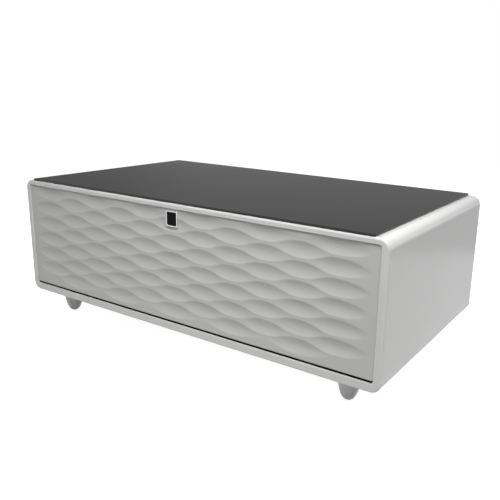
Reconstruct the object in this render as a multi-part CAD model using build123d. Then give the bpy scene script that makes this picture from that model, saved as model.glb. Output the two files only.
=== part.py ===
from build123d import *
import math
import os

os.makedirs("parts", exist_ok=True)

# A coffee table that is a drawer refrigerator. X runs along the front, the front faces -Y,
# Z is up, and the origin is on the floor under the middle of the cabinet.

# Overall size
overall_width = 1300.0
overall_depth = 700.0
overall_height = 460.0

# Gaps and cutters
slide_gap = 0.4
fit_gap = 0.3
screw_gap = 0.1
overrun = 4.0

# Facets of round pieces, of pipe bends and of each arc of the wave
disc_sides = 12
turned_sides = 28
bend_chords = 3
wave_chords = 3

# Where pieces stand across the machine compartment, as shares of half the inner width
supply_share = -0.864
gland_share = -0.752
board_share = -0.56
capillary_share = -0.416
coil_left_share = -0.272
coil_right_share = 0.304
fan_share = 0.4192
compressor_share = 0.688

# Cabinet shell
side_wall = 20.0
bottom_wall = 24.5
top_wall = 15.0
shell_corner_radius = 28.0
shell_inner_radius = 6.0
rim_round = 6.0
inner_rim_bevel = 1.2
back_bevel = 1.5
back_rebate_width = 9.0
back_rebate_depth = 6.0

# Glass top, bonding tape and touch board
glass_thickness = 5.0
glass_side_inset = 38.0
glass_end_inset = 3.0
glass_corner_radius = 3.0
glass_bevel = 0.8
tape_thickness = 1.0
tape_width = 12.0
tape_inset = 8.0
touch_board_length = 150.0
touch_board_width = 46.0
touch_board_thickness = 1.6
touch_pocket_depth = 6.0
touch_pocket_margin = 5.0
touch_board_side_inset = 220.0
touch_board_front = 60.0
touch_cable_half = 4.0

# Feet, their mounting plates and glides
foot_height = 76.0
foot_radius = 31.0
foot_fullness = 0.8
foot_rings = 5
foot_side_inset = 115.0
foot_end_inset = 72.0
glide_radius = 6.0
glide_thickness = 2.0
foot_plate_side = 36.0
foot_plate_thickness = 2.5

# Drawer front and its wave relief
front_gap = 1.5
front_bottom_gap = 6.0
front_recess = 3.0
front_thickness = 22.0
front_corner_radius = 4.5
front_edge_bevel = 1.2
wave_count = 6
wave_rows = 12
row_pitch = 25.25
first_row_drop = 19.0
groove_radius = 64.0
crest_swing = 9.0
crest_depth = 0.15

# Badge on the drawer front
badge_width = 41.0
badge_height = 44.0
badge_corner_radius = 3.0
badge_border = 3.0
badge_drop = 27.5
badge_pocket_depth = 5.0
badge_stand = 1.6
badge_plate_stand = 0.8

# Insulated panel behind the drawer front, with its gasket
door_flange_thickness = 4.0
door_flange_margin = 6.0
door_plug_depth = 29.0
door_plug_gap = 4.0
door_plug_taper = 2.0
gasket_width = 14.0
gasket_thickness = 8.0
gasket_base = 3.0
gasket_fold = 10.0
gasket_offset = 5.0

# Light bar under the drawer front
light_bar_height = 5.4
light_bar_depth = 12.0
light_bar_recess = 3.5
light_bar_end_gap = 3.5
led_strip_thickness = 1.6
led_strip_height = 4.6
led_count = 12
led_length = 3.5
led_stand = 0.8

# Cold compartment
liner_wall = 3.0
liner_corner_radius = 14.0
side_foam = 39.0
floor_foam = 30.0
ceiling_foam = 25.0
back_foam = 40.0
lamp_length = 260.0
lamp_width = 18.0
lamp_height = 8.0
lamp_setback = 26.0
sensor_width = 14.0
sensor_height = 36.0
sensor_depth = 8.0
sensor_rise = 150.0
sensor_setback = 60.0

# Evaporator plate on the back wall of the liner
evaporator_thickness = 2.0
evaporator_side_margin = 80.0
evaporator_low_margin = 50.0
evaporator_high_margin = 36.0
channel_radius = 3.5
channel_passes = 4
channel_margin = 30.0

# Telescopic runners
runner_back_gap = 27.8
runner_height = 45.0
runner_width = 12.7
runner_sheet = 1.2
runner_lip = 2.5
runner_outer_depth = 10.5
runner_rise = 62.0
runner_front_gap = 4.0
bracket_thickness = 1.5
bracket_shelf = 26.0
bracket_height = 66.0
bracket_tab_height = 46.0
bracket_tab_width = 9.0

# Food tub and its dividers
tub_wall = 3.0
tub_floor_gap = 12.0
tub_top_gap = 32.0
tub_back_gap = 32.0
tub_corner_radius = 20.0
tub_base_bevel = 4.0
tub_lip_width = 4.0
tub_lip_height = 5.0
divider_thickness = 2.5
divider_drop = 12.0
divider_rib = 3.0
divider_notch_width = 110.0
divider_notch_depth = 16.0
divider_notch_round = 7.0

# Machine compartment
machine_depth = 160.0
partition_thickness = 1.2
back_panel_thickness = 1.2
back_panel_play = 0.5
slot_length = 130.0
slot_height = 5.0
slot_pitch_z = 17.0
slot_rows = 8
slot_field_rise = 150.0

# Supply cord gland
gland_rise = 60.0
gland_flange_radius = 13.0
gland_flange_thickness = 3.0
gland_body_radius = 8.5
gland_bore_radius = 4.0
gland_inner_length = 14.0
gland_catch_radius = 10.0
gland_catch_thickness = 4.0

# Compressor
compressor_radius = 62.0
compressor_height = 146.0
compressor_dome = 36.0
port_offset = 26.0
compressor_plate_length = 190.0
compressor_plate_width = 108.0
compressor_plate_thickness = 3.0
mount_inset = 14.0
base_thickness = 2.0
base_margin = 12.0
grommet_radius = 9.0
grommet_height = 16.0
mount_bolt_head = 6.0
mount_bolt_head_height = 4.0
terminal_box_width = 44.0
terminal_box_height = 48.0
terminal_box_depth = 18.0
port_length = 12.0
suction_port_radius = 6.0
suction_port_rise = 100.0
discharge_port_radius = 5.0
discharge_port_rise = 66.0

# Condenser coil, drier and refrigerant lines
coil_radius = 3.0
coil_passes = 5
coil_pitch = 30.0
coil_bend = 12.0
coil_rise = 22.0
coil_wire_side = 1.8
coil_wires = 13
coil_wire_end = 18.0
coil_post_width = 14.0
coil_post_depth = 10.0
coil_post_inset = 36.0
coil_post_foot = 26.0
coil_post_sheet = 2.0
drier_radius = 9.0
drier_length = 90.0
drier_neck = 10.0
drier_rise = 34.0
line_radius = 3.0
pipe_sides = 6
suction_radius = 4.0
line_bend = 14.0
line_drop_run = 26.0
suction_entry_run = 100.0
entry_rise = 215.0

# Condenser fan
fan_size = 120.0
fan_depth = 25.0
fan_corner_cut = 3.0
fan_duct_radius = 57.0
fan_hub_radius = 21.0
fan_tip_gap = 1.5
fan_hub_length = 18.0
fan_motor_length = 5.0
fan_blades = 5
fan_blade_thickness = 1.8
fan_blade_width = 26.0
fan_blade_pitch = 36.0
fan_strut_width = 5.0
fan_struts = 4
fan_shaft_radius = 2.0
fan_shaft_gap = 0.1

# Control board and power supply
board_length = 170.0
board_width = 110.0
board_thickness = 1.6
board_rise = 130.0
standoff_radius = 4.0
standoff_sides = 6
standoff_length = 10.0
standoff_inset = 8.0
supply_length = 110.0
supply_width = 60.0
supply_height = 150.0

# Places worked out from the sizes above
front_y = -overall_depth / 2
back_y = overall_depth / 2
shell_bottom = foot_height
shell_top = overall_height - glass_thickness - tape_thickness
shell_height = shell_top - shell_bottom
shell_mid_z = (shell_top + shell_bottom) / 2
floor_z = shell_bottom + bottom_wall
ceiling_z = shell_top - top_wall
inside_half = overall_width / 2 - side_wall
inside_height = ceiling_z - floor_z
inside_mid_z = (ceiling_z + floor_z) / 2

supply_x = supply_share * inside_half
gland_x = gland_share * inside_half
board_x = board_share * inside_half
capillary_entry_x = capillary_share * inside_half
coil_left = coil_left_share * inside_half
coil_right = coil_right_share * inside_half
fan_x = fan_share * inside_half
compressor_x = compressor_share * inside_half
suction_entry_x = compressor_x - suction_entry_run
touch_board_x = overall_width / 2 - touch_board_side_inset

foot_x = overall_width / 2 - foot_side_inset
foot_y = overall_depth / 2 - foot_end_inset
foot_places = {
    "front_left": (-foot_x, -foot_y),
    "front_right": (foot_x, -foot_y),
    "back_left": (-foot_x, foot_y),
    "back_right": (foot_x, foot_y),
}

front_width = 2 * (inside_half - front_gap)
front_low = floor_z + front_bottom_gap
front_high = ceiling_z - front_gap
front_height = front_high - front_low
front_mid_z = (front_high + front_low) / 2
front_face = front_y + front_recess
front_back = front_face + front_thickness
badge_z = front_high - badge_drop

door_flange_back = front_back + door_flange_thickness
door_back = door_flange_back + door_plug_depth
gasket_back = door_flange_back + gasket_thickness
liner_front = gasket_back + fit_gap

back_panel_front = back_y - back_rebate_depth
partition_back = back_panel_front - machine_depth
partition_front = partition_back - partition_thickness
machine_mid_y = (back_panel_front + partition_back) / 2

cavity_half = inside_half - side_foam - liner_wall
cavity_floor = floor_z + floor_foam + liner_wall
cavity_ceiling = ceiling_z - ceiling_foam - liner_wall
cavity_back = partition_front - back_foam - liner_wall
cavity_height = cavity_ceiling - cavity_floor
cavity_mid_z = (cavity_ceiling + cavity_floor) / 2

runner_start = door_back + runner_front_gap
runner_end = cavity_back - runner_back_gap
runner_z = cavity_floor + runner_rise
bracket_outer_x = cavity_half - runner_width
bracket_inner_x = bracket_outer_x - bracket_thickness
tub_half = bracket_inner_x - fit_gap
tub_bottom = cavity_floor + tub_floor_gap
tub_top = cavity_ceiling - tub_top_gap
tub_front = door_back + tub_lip_width
tub_back = cavity_back - tub_back_gap
divider_x = tub_half / 3

compressor_foot_z = floor_z + base_thickness + grommet_height
compressor_low_z = compressor_foot_z + compressor_plate_thickness
coil_low_z = floor_z + coil_rise
coil_top_z = coil_low_z + (coil_passes - 1) * coil_pitch
drier_z = coil_top_z + drier_rise
entry_z = floor_z + entry_rise
drier_start = coil_left + coil_post_inset
fan_z = floor_z + fan_size / 2
fan_face = fan_x - fan_depth / 2
board_z = floor_z + board_rise
gland_z = floor_z + gland_rise
coil_y = machine_mid_y + port_offset
suction_y = machine_mid_y - port_offset


# Helpers

def block(x, y, z):
    """A box between the low and high value of each axis."""
    place = Pos(sum(x) / 2, sum(y) / 2, sum(z) / 2)
    return place * Box(x[1] - x[0], y[1] - y[0], z[1] - z[0])


def along_y(section, y):
    """A section drawn in X and Z, extruded from the low to the high Y."""
    return Pos(0, y[1], 0) * extrude(Plane.XZ * section, y[1] - y[0])


def bar(width, height, radius, mid_z, y):
    """A bar along Y with a rounded rectangle for its section."""
    return along_y(Pos(0, mid_z) * RectangleRounded(width, height, radius), y)


def rod_y(radius, x, y, z):
    return Pos(x, sum(y) / 2, z) * Rot(90, 0, 0) * Cylinder(radius, y[1] - y[0])


def tube(points, radius, bend, sides):
    """A pipe along straight runs, with the arc of each bend drawn as a few chords."""
    smooth = FilletPolyline(*points, radius=bend)
    spots = []
    for edge in smooth.edges():
        chords = bend_chords if edge.geom_type == GeomType.CIRCLE else 1
        spots += [edge @ (n / chords) for n in range(chords)]
    path = Polyline(*spots, smooth @ 1)
    start = Plane(origin=path @ 0, z_dir=path % 0)
    return sweep(start * RegularPolygon(radius, sides), path=path, transition=Transition.RIGHT)


def disc(radius, x, y, z):
    """A small round piece that stands on Z, with a few flats in place of its round side."""
    return Pos(x, y, z[0]) * extrude(RegularPolygon(radius, disc_sides), z[1] - z[0])


def disc_y(radius, x, y, z):
    """A small round piece that lies along Y, with a few flats in place of its round side."""
    return along_y(Pos(x, z) * RegularPolygon(radius, disc_sides), y)


def turned(rings):
    """A round body that stands on Z, from the radius and height of its rings, with flats for its sides."""
    loops = []
    for radius, z in rings:
        turns = [2 * math.pi * n / turned_sides for n in range(turned_sides)]
        loops.append([(radius * math.cos(turn), radius * math.sin(turn), z) for turn in turns])
    faces = [Face(Wire.make_polygon(loop)) for loop in (loops[0], loops[-1])]
    for low, high in zip(loops, loops[1:]):
        for n in range(turned_sides):
            faces.append(Face(Wire.make_polygon([low[n - 1], low[n], high[n], high[n - 1]])))
    return Solid(Shell(faces))


def stub(radius, x, y, z):
    """A small round piece that lies along X, with a few flats in place of its round side."""
    return Pos(x[1], y, z) * Rot(0, -90, 0) * extrude(RegularPolygon(radius, disc_sides), x[1] - x[0])


def group(solids):
    return Compound(children=list(solids))


def both_sides(shape):
    """The piece on the right and its mirror image on the left."""
    return {"right": shape, "left": mirror(shape, about=Plane.YZ)}


def save(node, shape):
    export_step(shape, f"parts/{node}.step")


# Cabinet

def touch_pocket(margin, low_z, high_z):
    """The space of the touch board, or of its pocket with a margin all round."""
    mid_y = front_y + touch_board_front + touch_board_width / 2
    half_length = touch_board_length / 2 + margin
    half_width = touch_board_width / 2 + margin
    return block((touch_board_x - half_length, touch_board_x + half_length),
                 (mid_y - half_width, mid_y + half_width), (low_z, high_z))


def cabinet_shell():
    shell = bar(overall_width, shell_height, shell_corner_radius, shell_mid_z, (front_y, back_y))
    shell = fillet(shell.faces().sort_by(Axis.Y)[0].edges(), rim_round)
    shell = chamfer(shell.faces().sort_by(Axis.Y)[-1].edges(), back_bevel)
    inside = (front_y - overrun, back_y + overrun)
    shell -= bar(2 * inside_half, inside_height, shell_inner_radius, inside_mid_z, inside)
    mouth = shell.faces().sort_by(Axis.Y)[0].inner_wires()[0]
    shell = chamfer(mouth.edges(), inner_rim_bevel)
    shell -= bar(2 * (inside_half + back_rebate_width), inside_height + 2 * back_rebate_width,
                 shell_inner_radius, inside_mid_z, (back_panel_front, back_y + overrun))
    shell -= touch_pocket(touch_pocket_margin, shell_top - touch_pocket_depth, shell_top + overrun)
    cable_y = front_y + touch_board_front + touch_board_width / 2
    shell -= block((touch_board_x - touch_cable_half, touch_board_x + touch_cable_half),
                   (cable_y - touch_cable_half, cable_y + touch_cable_half), (ceiling_z - overrun, shell_top))
    for x, y in foot_places.values():
        shell -= foot_plate(x, y)
    return shell


def glass_outline(inset):
    width = overall_width - 2 * (glass_side_inset + inset)
    return RectangleRounded(width, overall_depth - 2 * (glass_end_inset + inset), glass_corner_radius)


def glass_top():
    glass = Pos(0, 0, shell_top + tape_thickness) * extrude(glass_outline(0), glass_thickness)
    return chamfer(glass.faces().sort_by(Axis.Z)[-1].edges(), glass_bevel)


def glass_tape():
    outer = overall_width / 2 - glass_side_inset - tape_inset
    front = front_y + glass_end_inset + tape_inset
    ring = block((-outer, outer), (front, -front), (shell_top, shell_top + tape_thickness))
    inner = outer - tape_width
    return ring - block((-inner, inner), (front + tape_width, -front - tape_width),
                        (shell_top - overrun, shell_top + overrun))


def touch_board():
    high = shell_top + tape_thickness
    return touch_pocket(0, high - touch_board_thickness, high)


def foot(x, y):
    """Half an egg that stands on its small end and carries the cabinet on its wide end."""
    low_turn = math.asin((foot_height - glide_thickness) / foot_height)
    rings = []
    for n in range(foot_rings + 1):
        turn = low_turn * (1 - n / foot_rings)
        rings.append((foot_radius * math.cos(turn) ** foot_fullness, foot_height * (1 - math.sin(turn))))
    return Pos(x, y, 0) * turned(rings)


def foot_plate(x, y):
    """Steel plate let into the underside of the shell, which the foot is screwed to."""
    half = foot_plate_side / 2
    z = (shell_bottom, shell_bottom + foot_plate_thickness)
    return block((x - half, x + half), (y - half, y + half), z)


def foot_glide(x, y):
    return disc(glide_radius, x, y, (0, glide_thickness))


def light_bar():
    length = 2 * (inside_half - light_bar_end_gap)
    section = Pos(0, floor_z + light_bar_height / 2) * SlotOverall(length, light_bar_height)
    front = front_y + light_bar_recess
    return along_y(section, (front, front + light_bar_depth))


def light_bar_leds():
    """Circuit strip behind the diffuser, with a row of light chips that look into its back."""
    half = inside_half - shell_inner_radius
    strip_front = front_y + light_bar_recess + light_bar_depth + led_stand
    low = floor_z + (light_bar_height - led_strip_height) / 2
    strip = block((-half, half), (strip_front, strip_front + led_strip_thickness),
                  (floor_z, low + led_strip_height))
    pitch = 2 * half / led_count
    for n in range(led_count):
        x = -half + (n + 1 / 2) * pitch
        mid = low + led_strip_height / 2
        strip += block((x - led_length / 2, x + led_length / 2),
                       (strip_front - led_stand, strip_front),
                       (mid - led_length / 2, mid + led_length / 2))
    return strip


# Drawer front

def wave_groove(mid_z, first_x, lenses):
    """Cutter of one row: a round groove that gets deep and shallow along its length.

    Its bottom follows a chain of arcs, deep at each lens and shallow between two of them, with a
    straight run at each end that lifts the groove out of the face.
    """
    quarter = front_width / wave_count / 4
    swing = crest_swing * row_pitch / (2 * groove_radius)
    depth = (row_pitch ** 2 / 4 + crest_swing ** 2) / (2 * groove_radius) + crest_depth
    bend_radius = (quarter ** 2 + swing ** 2) / (2 * swing)
    slope = math.asin(quarter / bend_radius)
    run = (depth + overrun) / math.tan(slope)
    last_x = first_x + 4 * quarter * (lenses - 1)
    bottom = [(first_x - quarter - run, -overrun), (first_x - quarter, depth)]
    for n in range(2 * lenses - 1):
        side = 1 if n % 2 == 0 else -1
        for chord in range(1, wave_chords + 1):
            turn = slope * (2 * chord / wave_chords - 1)
            sink = depth + side * (swing - bend_radius * (1 - math.cos(turn)))
            bottom.append((first_x + 2 * quarter * n + bend_radius * math.sin(turn), sink))
    bottom.append((last_x + quarter + run, -overrun))
    path = Polyline(*[(x, front_face + sink, mid_z) for x, sink in bottom])
    rise = depth + swing + overrun
    half = math.sqrt(groove_radius ** 2 - (groove_radius - rise) ** 2)
    arc = ThreePointArc((-half, rise), (0, 0), (half, rise))
    section = make_face([arc, Line((half, rise), (-half, rise))])
    start = Plane(origin=path @ 0, x_dir=(0, 0, 1), z_dir=path % 0)
    return sweep(start * section, path=path, transition=Transition.RIGHT)


def badge_section(border):
    return Pos(0, badge_z) * Rectangle(badge_width - 2 * border, badge_height - 2 * border)


def drawer_front():
    panel = bar(front_width, front_height, front_corner_radius, front_mid_z, (front_face, front_back))
    panel = chamfer(panel.faces().sort_by(Axis.Y)[0].edges(), front_edge_bevel)
    wave = front_width / wave_count
    for row in range(wave_rows):
        mid_z = front_high - first_row_drop - row * row_pitch
        lenses = wave_count - row % 2
        panel -= wave_groove(mid_z, -(lenses - 1) / 2 * wave, lenses)
    pocket = along_y(badge_section(-screw_gap), (front_face - overrun, front_face + badge_pocket_depth))
    panel -= fillet(pocket.edges().filter_by(Axis.Y), badge_corner_radius)
    return panel


def badge_frame():
    y = (front_face - badge_stand, front_face + badge_pocket_depth)
    block_edges = along_y(badge_section(0), y).edges().filter_by(Axis.Y)
    return fillet(block_edges, badge_corner_radius) - along_y(badge_section(badge_border), y)


def badge_plate():
    return along_y(badge_section(badge_border + screw_gap),
                   (front_face - badge_plate_stand, front_face + badge_pocket_depth))


def drawer_inner_panel():
    """Moulded back of the drawer front: a flange and a plug that fills the mouth of the liner."""
    width = 2 * (inside_half - door_flange_margin)
    high = front_high - door_flange_margin
    low = front_low + door_flange_margin
    panel = block((-width / 2, width / 2), (front_back, door_flange_back), (low, high))
    plug = Plane.XZ * (Pos(0, cavity_mid_z) * RectangleRounded(
        2 * (cavity_half - door_plug_gap), cavity_height - 2 * door_plug_gap, liner_corner_radius))
    panel += Pos(0, door_flange_back, 0) * extrude(plug, -door_plug_depth, taper=door_plug_taper)
    return panel


def gasket_ring(outer, inner, y):
    """A ring with mitred corners round the mouth of the liner, by its distances outside that mouth."""
    ring = []
    for offset in (outer, inner):
        ring.append(Rectangle(2 * (cavity_half + offset), cavity_height + 2 * offset))
    return along_y(Pos(0, cavity_mid_z) * (ring[0] - ring[1]), y)


def drawer_gasket():
    """Magnet gasket: a wide base and a narrower fold in front of it."""
    fold_margin = (gasket_width - gasket_fold) / 2
    base_back = door_flange_back + gasket_base
    base = gasket_ring(gasket_offset + gasket_width, gasket_offset, (door_flange_back, base_back))
    fold = gasket_ring(gasket_offset + gasket_width - fold_margin, gasket_offset + fold_margin,
                       (base_back, gasket_back))
    return base + fold


# Cold compartment

def filler(y):
    """A plate that fills the inside of the shell, with its corners cut to clear the shell's round ones."""
    plate = block((-inside_half + fit_gap, inside_half - fit_gap), y,
                  (floor_z + fit_gap, ceiling_z - fit_gap))
    return chamfer(plate.edges().filter_by(Axis.Y), shell_inner_radius)


def pipe_holes(shape, y):
    """Cut the square holes of the two pipes that reach the evaporator from the machine compartment."""
    for x, radius in ((suction_entry_x, suction_radius), (capillary_entry_x, line_radius)):
        half = radius + fit_gap
        shape -= block((x - half, x + half), y, (entry_z - half, entry_z + half))
    return shape


def liner_space(y):
    """The box that the outside of the liner fills in the foam."""
    half = cavity_half + liner_wall
    return block((-half, half), y, (cavity_floor - liner_wall, cavity_ceiling + liner_wall))


def inner_liner():
    outside = liner_space((liner_front, cavity_back + liner_wall))
    liner = outside + filler((liner_front, liner_front + liner_wall))
    liner -= bar(2 * cavity_half, cavity_height, liner_corner_radius, cavity_mid_z,
                 (liner_front - overrun, cavity_back))
    return pipe_holes(liner, (cavity_back - overrun, cavity_back + 2 * overrun))


def insulation():
    """Foam between the liner, the shell and the partition."""
    foam = filler((liner_front + liner_wall, partition_front))
    foam -= liner_space((liner_front - overrun, cavity_back + liner_wall))
    return pipe_holes(foam, (cavity_back - overrun, partition_back + overrun))


def evaporator():
    """Plate on the back wall of the liner, with one raised channel that winds over it."""
    front = cavity_back - evaporator_thickness
    half = cavity_half - evaporator_side_margin
    low = cavity_floor + evaporator_low_margin
    high = cavity_ceiling - evaporator_high_margin
    plate = block((-half, half), (front, cavity_back), (low, high))
    end = half - channel_margin
    pitch = (high - low - 2 * channel_margin) / (channel_passes - 1)
    points = []
    for n in range(channel_passes):
        z = low + channel_margin + n * pitch
        side = -1 if n % 2 == 0 else 1
        points += [(side * end, front, z), (-side * end, front, z)]
    plate += tube(points, channel_radius, pitch / 2 - channel_radius, pipe_sides)
    return plate - block((-half, half), (cavity_back, cavity_back + overrun), (low, high))


def interior_lamp():
    start = liner_front + lamp_setback
    lamp = block((-lamp_length / 2, lamp_length / 2), (start, start + lamp_width),
                 (cavity_ceiling - lamp_height, cavity_ceiling))
    return chamfer(lamp.faces().sort_by(Axis.Z)[0].edges(), lamp_height / 4)


def temperature_sensor():
    back = cavity_back - sensor_setback
    low = cavity_floor + sensor_rise
    return block((-cavity_half, -cavity_half + sensor_depth), (back - sensor_width, back),
                 (low, low + sensor_height))


# Runners

def runner_member(plates, y):
    """A channel from the plates of its upper half, each by its depths and heights.

    Depth runs from the liner wall towards the tub, height from the runner's middle line.
    """
    section = Sketch()
    for depth, height in plates:
        for side in (-1, 1):
            x = cavity_half - sum(depth) / 2
            z = runner_z + side * sum(height) / 2
            section += Pos(x, z) * Rectangle(depth[1] - depth[0], height[1] - height[0])
    return along_y(section, y)


def runner_members():
    t = runner_sheet
    y = (runner_start, runner_end)
    top = runner_height / 2
    outer_end = runner_outer_depth
    outer = [((0, t), (0, top)), ((0, outer_end), (top - t, top)),
             ((outer_end - t, outer_end), (top - t - runner_lip, top))]
    middle_top = top - t - slide_gap
    middle_start = t + slide_gap
    middle_end = outer_end - t - slide_gap
    middle = [((middle_start, middle_start + t), (0, middle_top)),
              ((middle_start, middle_end), (middle_top - t, middle_top)),
              ((middle_end - t, middle_end), (middle_top - t - runner_lip, middle_top))]
    inner_top = middle_top - t - slide_gap
    inner_start = middle_start + t + slide_gap
    leg_top = middle_top - t - runner_lip - slide_gap
    inner = [((runner_width - t, runner_width), (0, leg_top)),
             ((inner_start, runner_width), (leg_top - t, leg_top)),
             ((inner_start, inner_start + t), (leg_top - t, inner_top))]
    return {"outer": runner_member(outer, y), "middle": runner_member(middle, y),
            "inner": runner_member(inner, y)}


def side_bracket():
    """Angle that joins the inner runner member, the tub and the inner panel."""
    y = (door_back, runner_end)
    low = tub_bottom - bracket_thickness
    plate = block((bracket_inner_x, bracket_outer_x), y, (low, low + bracket_height))
    shelf = block((bracket_outer_x - bracket_shelf, bracket_outer_x), (tub_front, runner_end),
                  (low, tub_bottom))
    tab_low = runner_z - bracket_tab_height / 2
    tab = block((bracket_inner_x, bracket_outer_x + bracket_tab_width),
                (door_back, door_back + bracket_thickness), (tab_low, tab_low + bracket_tab_height))
    return plate + shelf + tab


# Food tub

def food_tub():
    mid_y = (tub_front + tub_back) / 2
    depth = tub_back - tub_front
    outline = RectangleRounded(2 * tub_half, depth, tub_corner_radius)
    tub = Pos(0, mid_y, tub_bottom) * extrude(outline, tub_top - tub_bottom)
    tub = chamfer(tub.faces().sort_by(Axis.Z)[0].edges(), tub_base_bevel)
    lip = RectangleRounded(2 * (tub_half + tub_lip_width), depth + 2 * tub_lip_width,
                           tub_corner_radius + tub_lip_width)
    tub += Pos(0, mid_y, tub_top - tub_lip_height) * extrude(lip, tub_lip_height)
    hollow = RectangleRounded(2 * (tub_half - tub_wall), depth - 2 * tub_wall,
                              tub_corner_radius - tub_wall)
    hollow = Pos(0, mid_y, tub_bottom + tub_wall) * extrude(hollow, tub_top - tub_bottom)
    tub -= hollow
    return tub + divider_guides()


def divider_guides():
    """Pairs of upright ribs on the front and back walls that hold the dividers."""
    guides = []
    offset = divider_thickness / 2 + fit_gap
    top = tub_top - tub_lip_height
    for x in (-divider_x, divider_x):
        for side in (-1, 1):
            low_x = min(side * offset, side * (offset + divider_rib))
            span = (x + low_x, x + low_x + divider_rib)
            front = tub_front + tub_wall
            back = tub_back - tub_wall
            guides.append(block(span, (front, front + divider_rib), (tub_bottom + tub_wall, top)))
            guides.append(block(span, (back - divider_rib, back), (tub_bottom + tub_wall, top)))
    return guides


def tub_divider(x):
    front = tub_front + tub_wall + fit_gap
    back = tub_back - tub_wall - fit_gap
    mid_y = (front + back) / 2
    low = tub_bottom + tub_wall
    high = tub_top - divider_drop
    plate = block((x - divider_thickness / 2, x + divider_thickness / 2), (front, back), (low, high))
    notch = block((x - divider_thickness, x + divider_thickness),
                  (mid_y - divider_notch_width / 2, mid_y + divider_notch_width / 2),
                  (high - divider_notch_depth, high + overrun))
    plate -= fillet(notch.edges().filter_by(Axis.X).group_by(Axis.Z)[0], divider_notch_round)
    return plate


# Machine compartment

def machine_partition():
    plate = filler((partition_front, partition_back))
    return pipe_holes(plate, (partition_front - overrun, partition_back + overrun))


def plate_xz(x, z, width, height, y):
    """A rectangle centred on a place in X and Z, extruded over a stretch of Y."""
    return block((x - width / 2, x + width / 2), y, (z - height / 2, z + height / 2))


def back_panel():
    half = inside_half + back_rebate_width - back_panel_play
    height = inside_height + 2 * (back_rebate_width - back_panel_play)
    y = (back_panel_front, back_panel_front + back_panel_thickness)
    panel = bar(2 * half, height, shell_inner_radius, inside_mid_z, y)
    cut = (y[0] - overrun, y[1] + overrun)
    for x in (compressor_x, (coil_left + coil_right) / 2):
        for row in range(slot_rows):
            z = floor_z + slot_field_rise + (row - (slot_rows - 1) / 2) * slot_pitch_z
            panel -= plate_xz(x, z, slot_length, slot_height, cut)
    return panel - rod_y(gland_body_radius + screw_gap, gland_x, cut, gland_z)


def cord_gland():
    """Snap-in bush for the supply cord: a flange outside, a body through the panel, a catch inside."""
    face = back_panel_front + back_panel_thickness
    inner = back_panel_front - gland_inner_length
    outer = face + gland_flange_thickness
    catch = back_panel_front - gland_catch_thickness
    gland = disc_y(gland_flange_radius, gland_x, (face, outer), gland_z)
    gland += disc_y(gland_body_radius, gland_x, (inner, face), gland_z)
    gland += disc_y(gland_catch_radius, gland_x, (catch, back_panel_front), gland_z)
    return gland - rod_y(gland_bore_radius, gland_x, (inner - overrun, outer + overrun), gland_z)


def mount_places():
    half_x = compressor_plate_length / 2 - mount_inset
    half_y = compressor_plate_width / 2 - mount_inset
    return [(compressor_x + sx * half_x, machine_mid_y + sy * half_y)
            for sx in (-1, 1) for sy in (-1, 1)]


def mounting_plate(margin, low_z, high_z):
    half_x = compressor_plate_length / 2 + margin
    half_y = compressor_plate_width / 2 + margin
    return block((compressor_x - half_x, compressor_x + half_x),
                 (machine_mid_y - half_y, machine_mid_y + half_y), (low_z, high_z))


def compressor():
    """Welded pot on a mounting plate, with pipe ports on its left and a terminal box on its right."""
    low = compressor_low_z
    high = low + compressor_height
    r = compressor_radius
    dome = compressor_dome
    rings = [(r - dome / 2, compressor_foot_z), (r, low + dome / 2), (r, high - dome),
             (r - dome / 3, high - dome / 3), (r - dome, high)]
    pot = Pos(compressor_x, machine_mid_y, 0) * turned(rings)
    pot += mounting_plate(0, compressor_foot_z, compressor_low_z)
    for radius, y, rise in ((suction_port_radius, suction_y, suction_port_rise),
                            (discharge_port_radius, coil_y, discharge_port_rise)):
        pot += stub(radius, (compressor_x - r - port_length, compressor_x), y, low + rise)
    reach = r + terminal_box_depth
    box_y = (machine_mid_y - terminal_box_width / 2, machine_mid_y + terminal_box_width / 2)
    return pot + plate_xz(compressor_x + reach / 2, (low + high) / 2, reach, terminal_box_height, box_y)


def compressor_base():
    return mounting_plate(base_margin, floor_z, floor_z + base_thickness)


def grommet(x, y):
    return disc(grommet_radius, x, y, (floor_z + base_thickness, compressor_foot_z))


def mount_bolt(x, y):
    """Hexagon head of the bolt that ends in the grommet under the plate."""
    head = extrude(RegularPolygon(mount_bolt_head, 6), mount_bolt_head_height)
    return Pos(x, y, compressor_low_z) * head


def condenser_coil():
    """One tube that winds down from the top right and rises on its left to the drier."""
    points = []
    for n in range(coil_passes):
        z = coil_top_z - n * coil_pitch
        ends = (coil_right, coil_left) if n % 2 == 0 else (coil_left, coil_right)
        points += [(ends[0], coil_y, z), (ends[1], coil_y, z)]
    riser = coil_left - line_drop_run
    points[-1] = (riser, coil_y, coil_low_z)
    points += [(riser, coil_y, drier_z), (drier_start, coil_y, drier_z)]
    return tube(points, coil_radius, coil_bend, pipe_sides)


def condenser_wires():
    """Upright wires on both faces of the coil."""
    wires = []
    pitch = (coil_right - coil_left - 2 * coil_wire_end) / (coil_wires - 1)
    z = (coil_low_z - coil_wire_end / 2, coil_top_z + coil_wire_end / 2)
    near = coil_radius + screw_gap
    for n in range(coil_wires):
        x = coil_left + coil_wire_end + n * pitch
        for side in (-1, 1):
            y = sorted((coil_y + side * near, coil_y + side * (near + coil_wire_side)))
            wires.append(block((x - coil_wire_side / 2, x + coil_wire_side / 2), y, z))
    return wires


def condenser_post(x):
    """Upright channel that the coil is clipped to, with a foot on the floor of the cabinet."""
    back = coil_y - coil_radius - coil_wire_side - 2 * screw_gap
    front = back - coil_post_depth
    high = coil_top_z + coil_wire_end / 2
    post = block((x, x + coil_post_width), (front, back), (floor_z, high))
    sheet = coil_post_sheet
    post -= block((x + sheet, x + coil_post_width - sheet), (front - overrun, back - sheet),
                  (floor_z + sheet, high + overrun))
    return post + block((x, x + coil_post_width), (back - coil_post_foot, back), (floor_z, floor_z + sheet))


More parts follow.
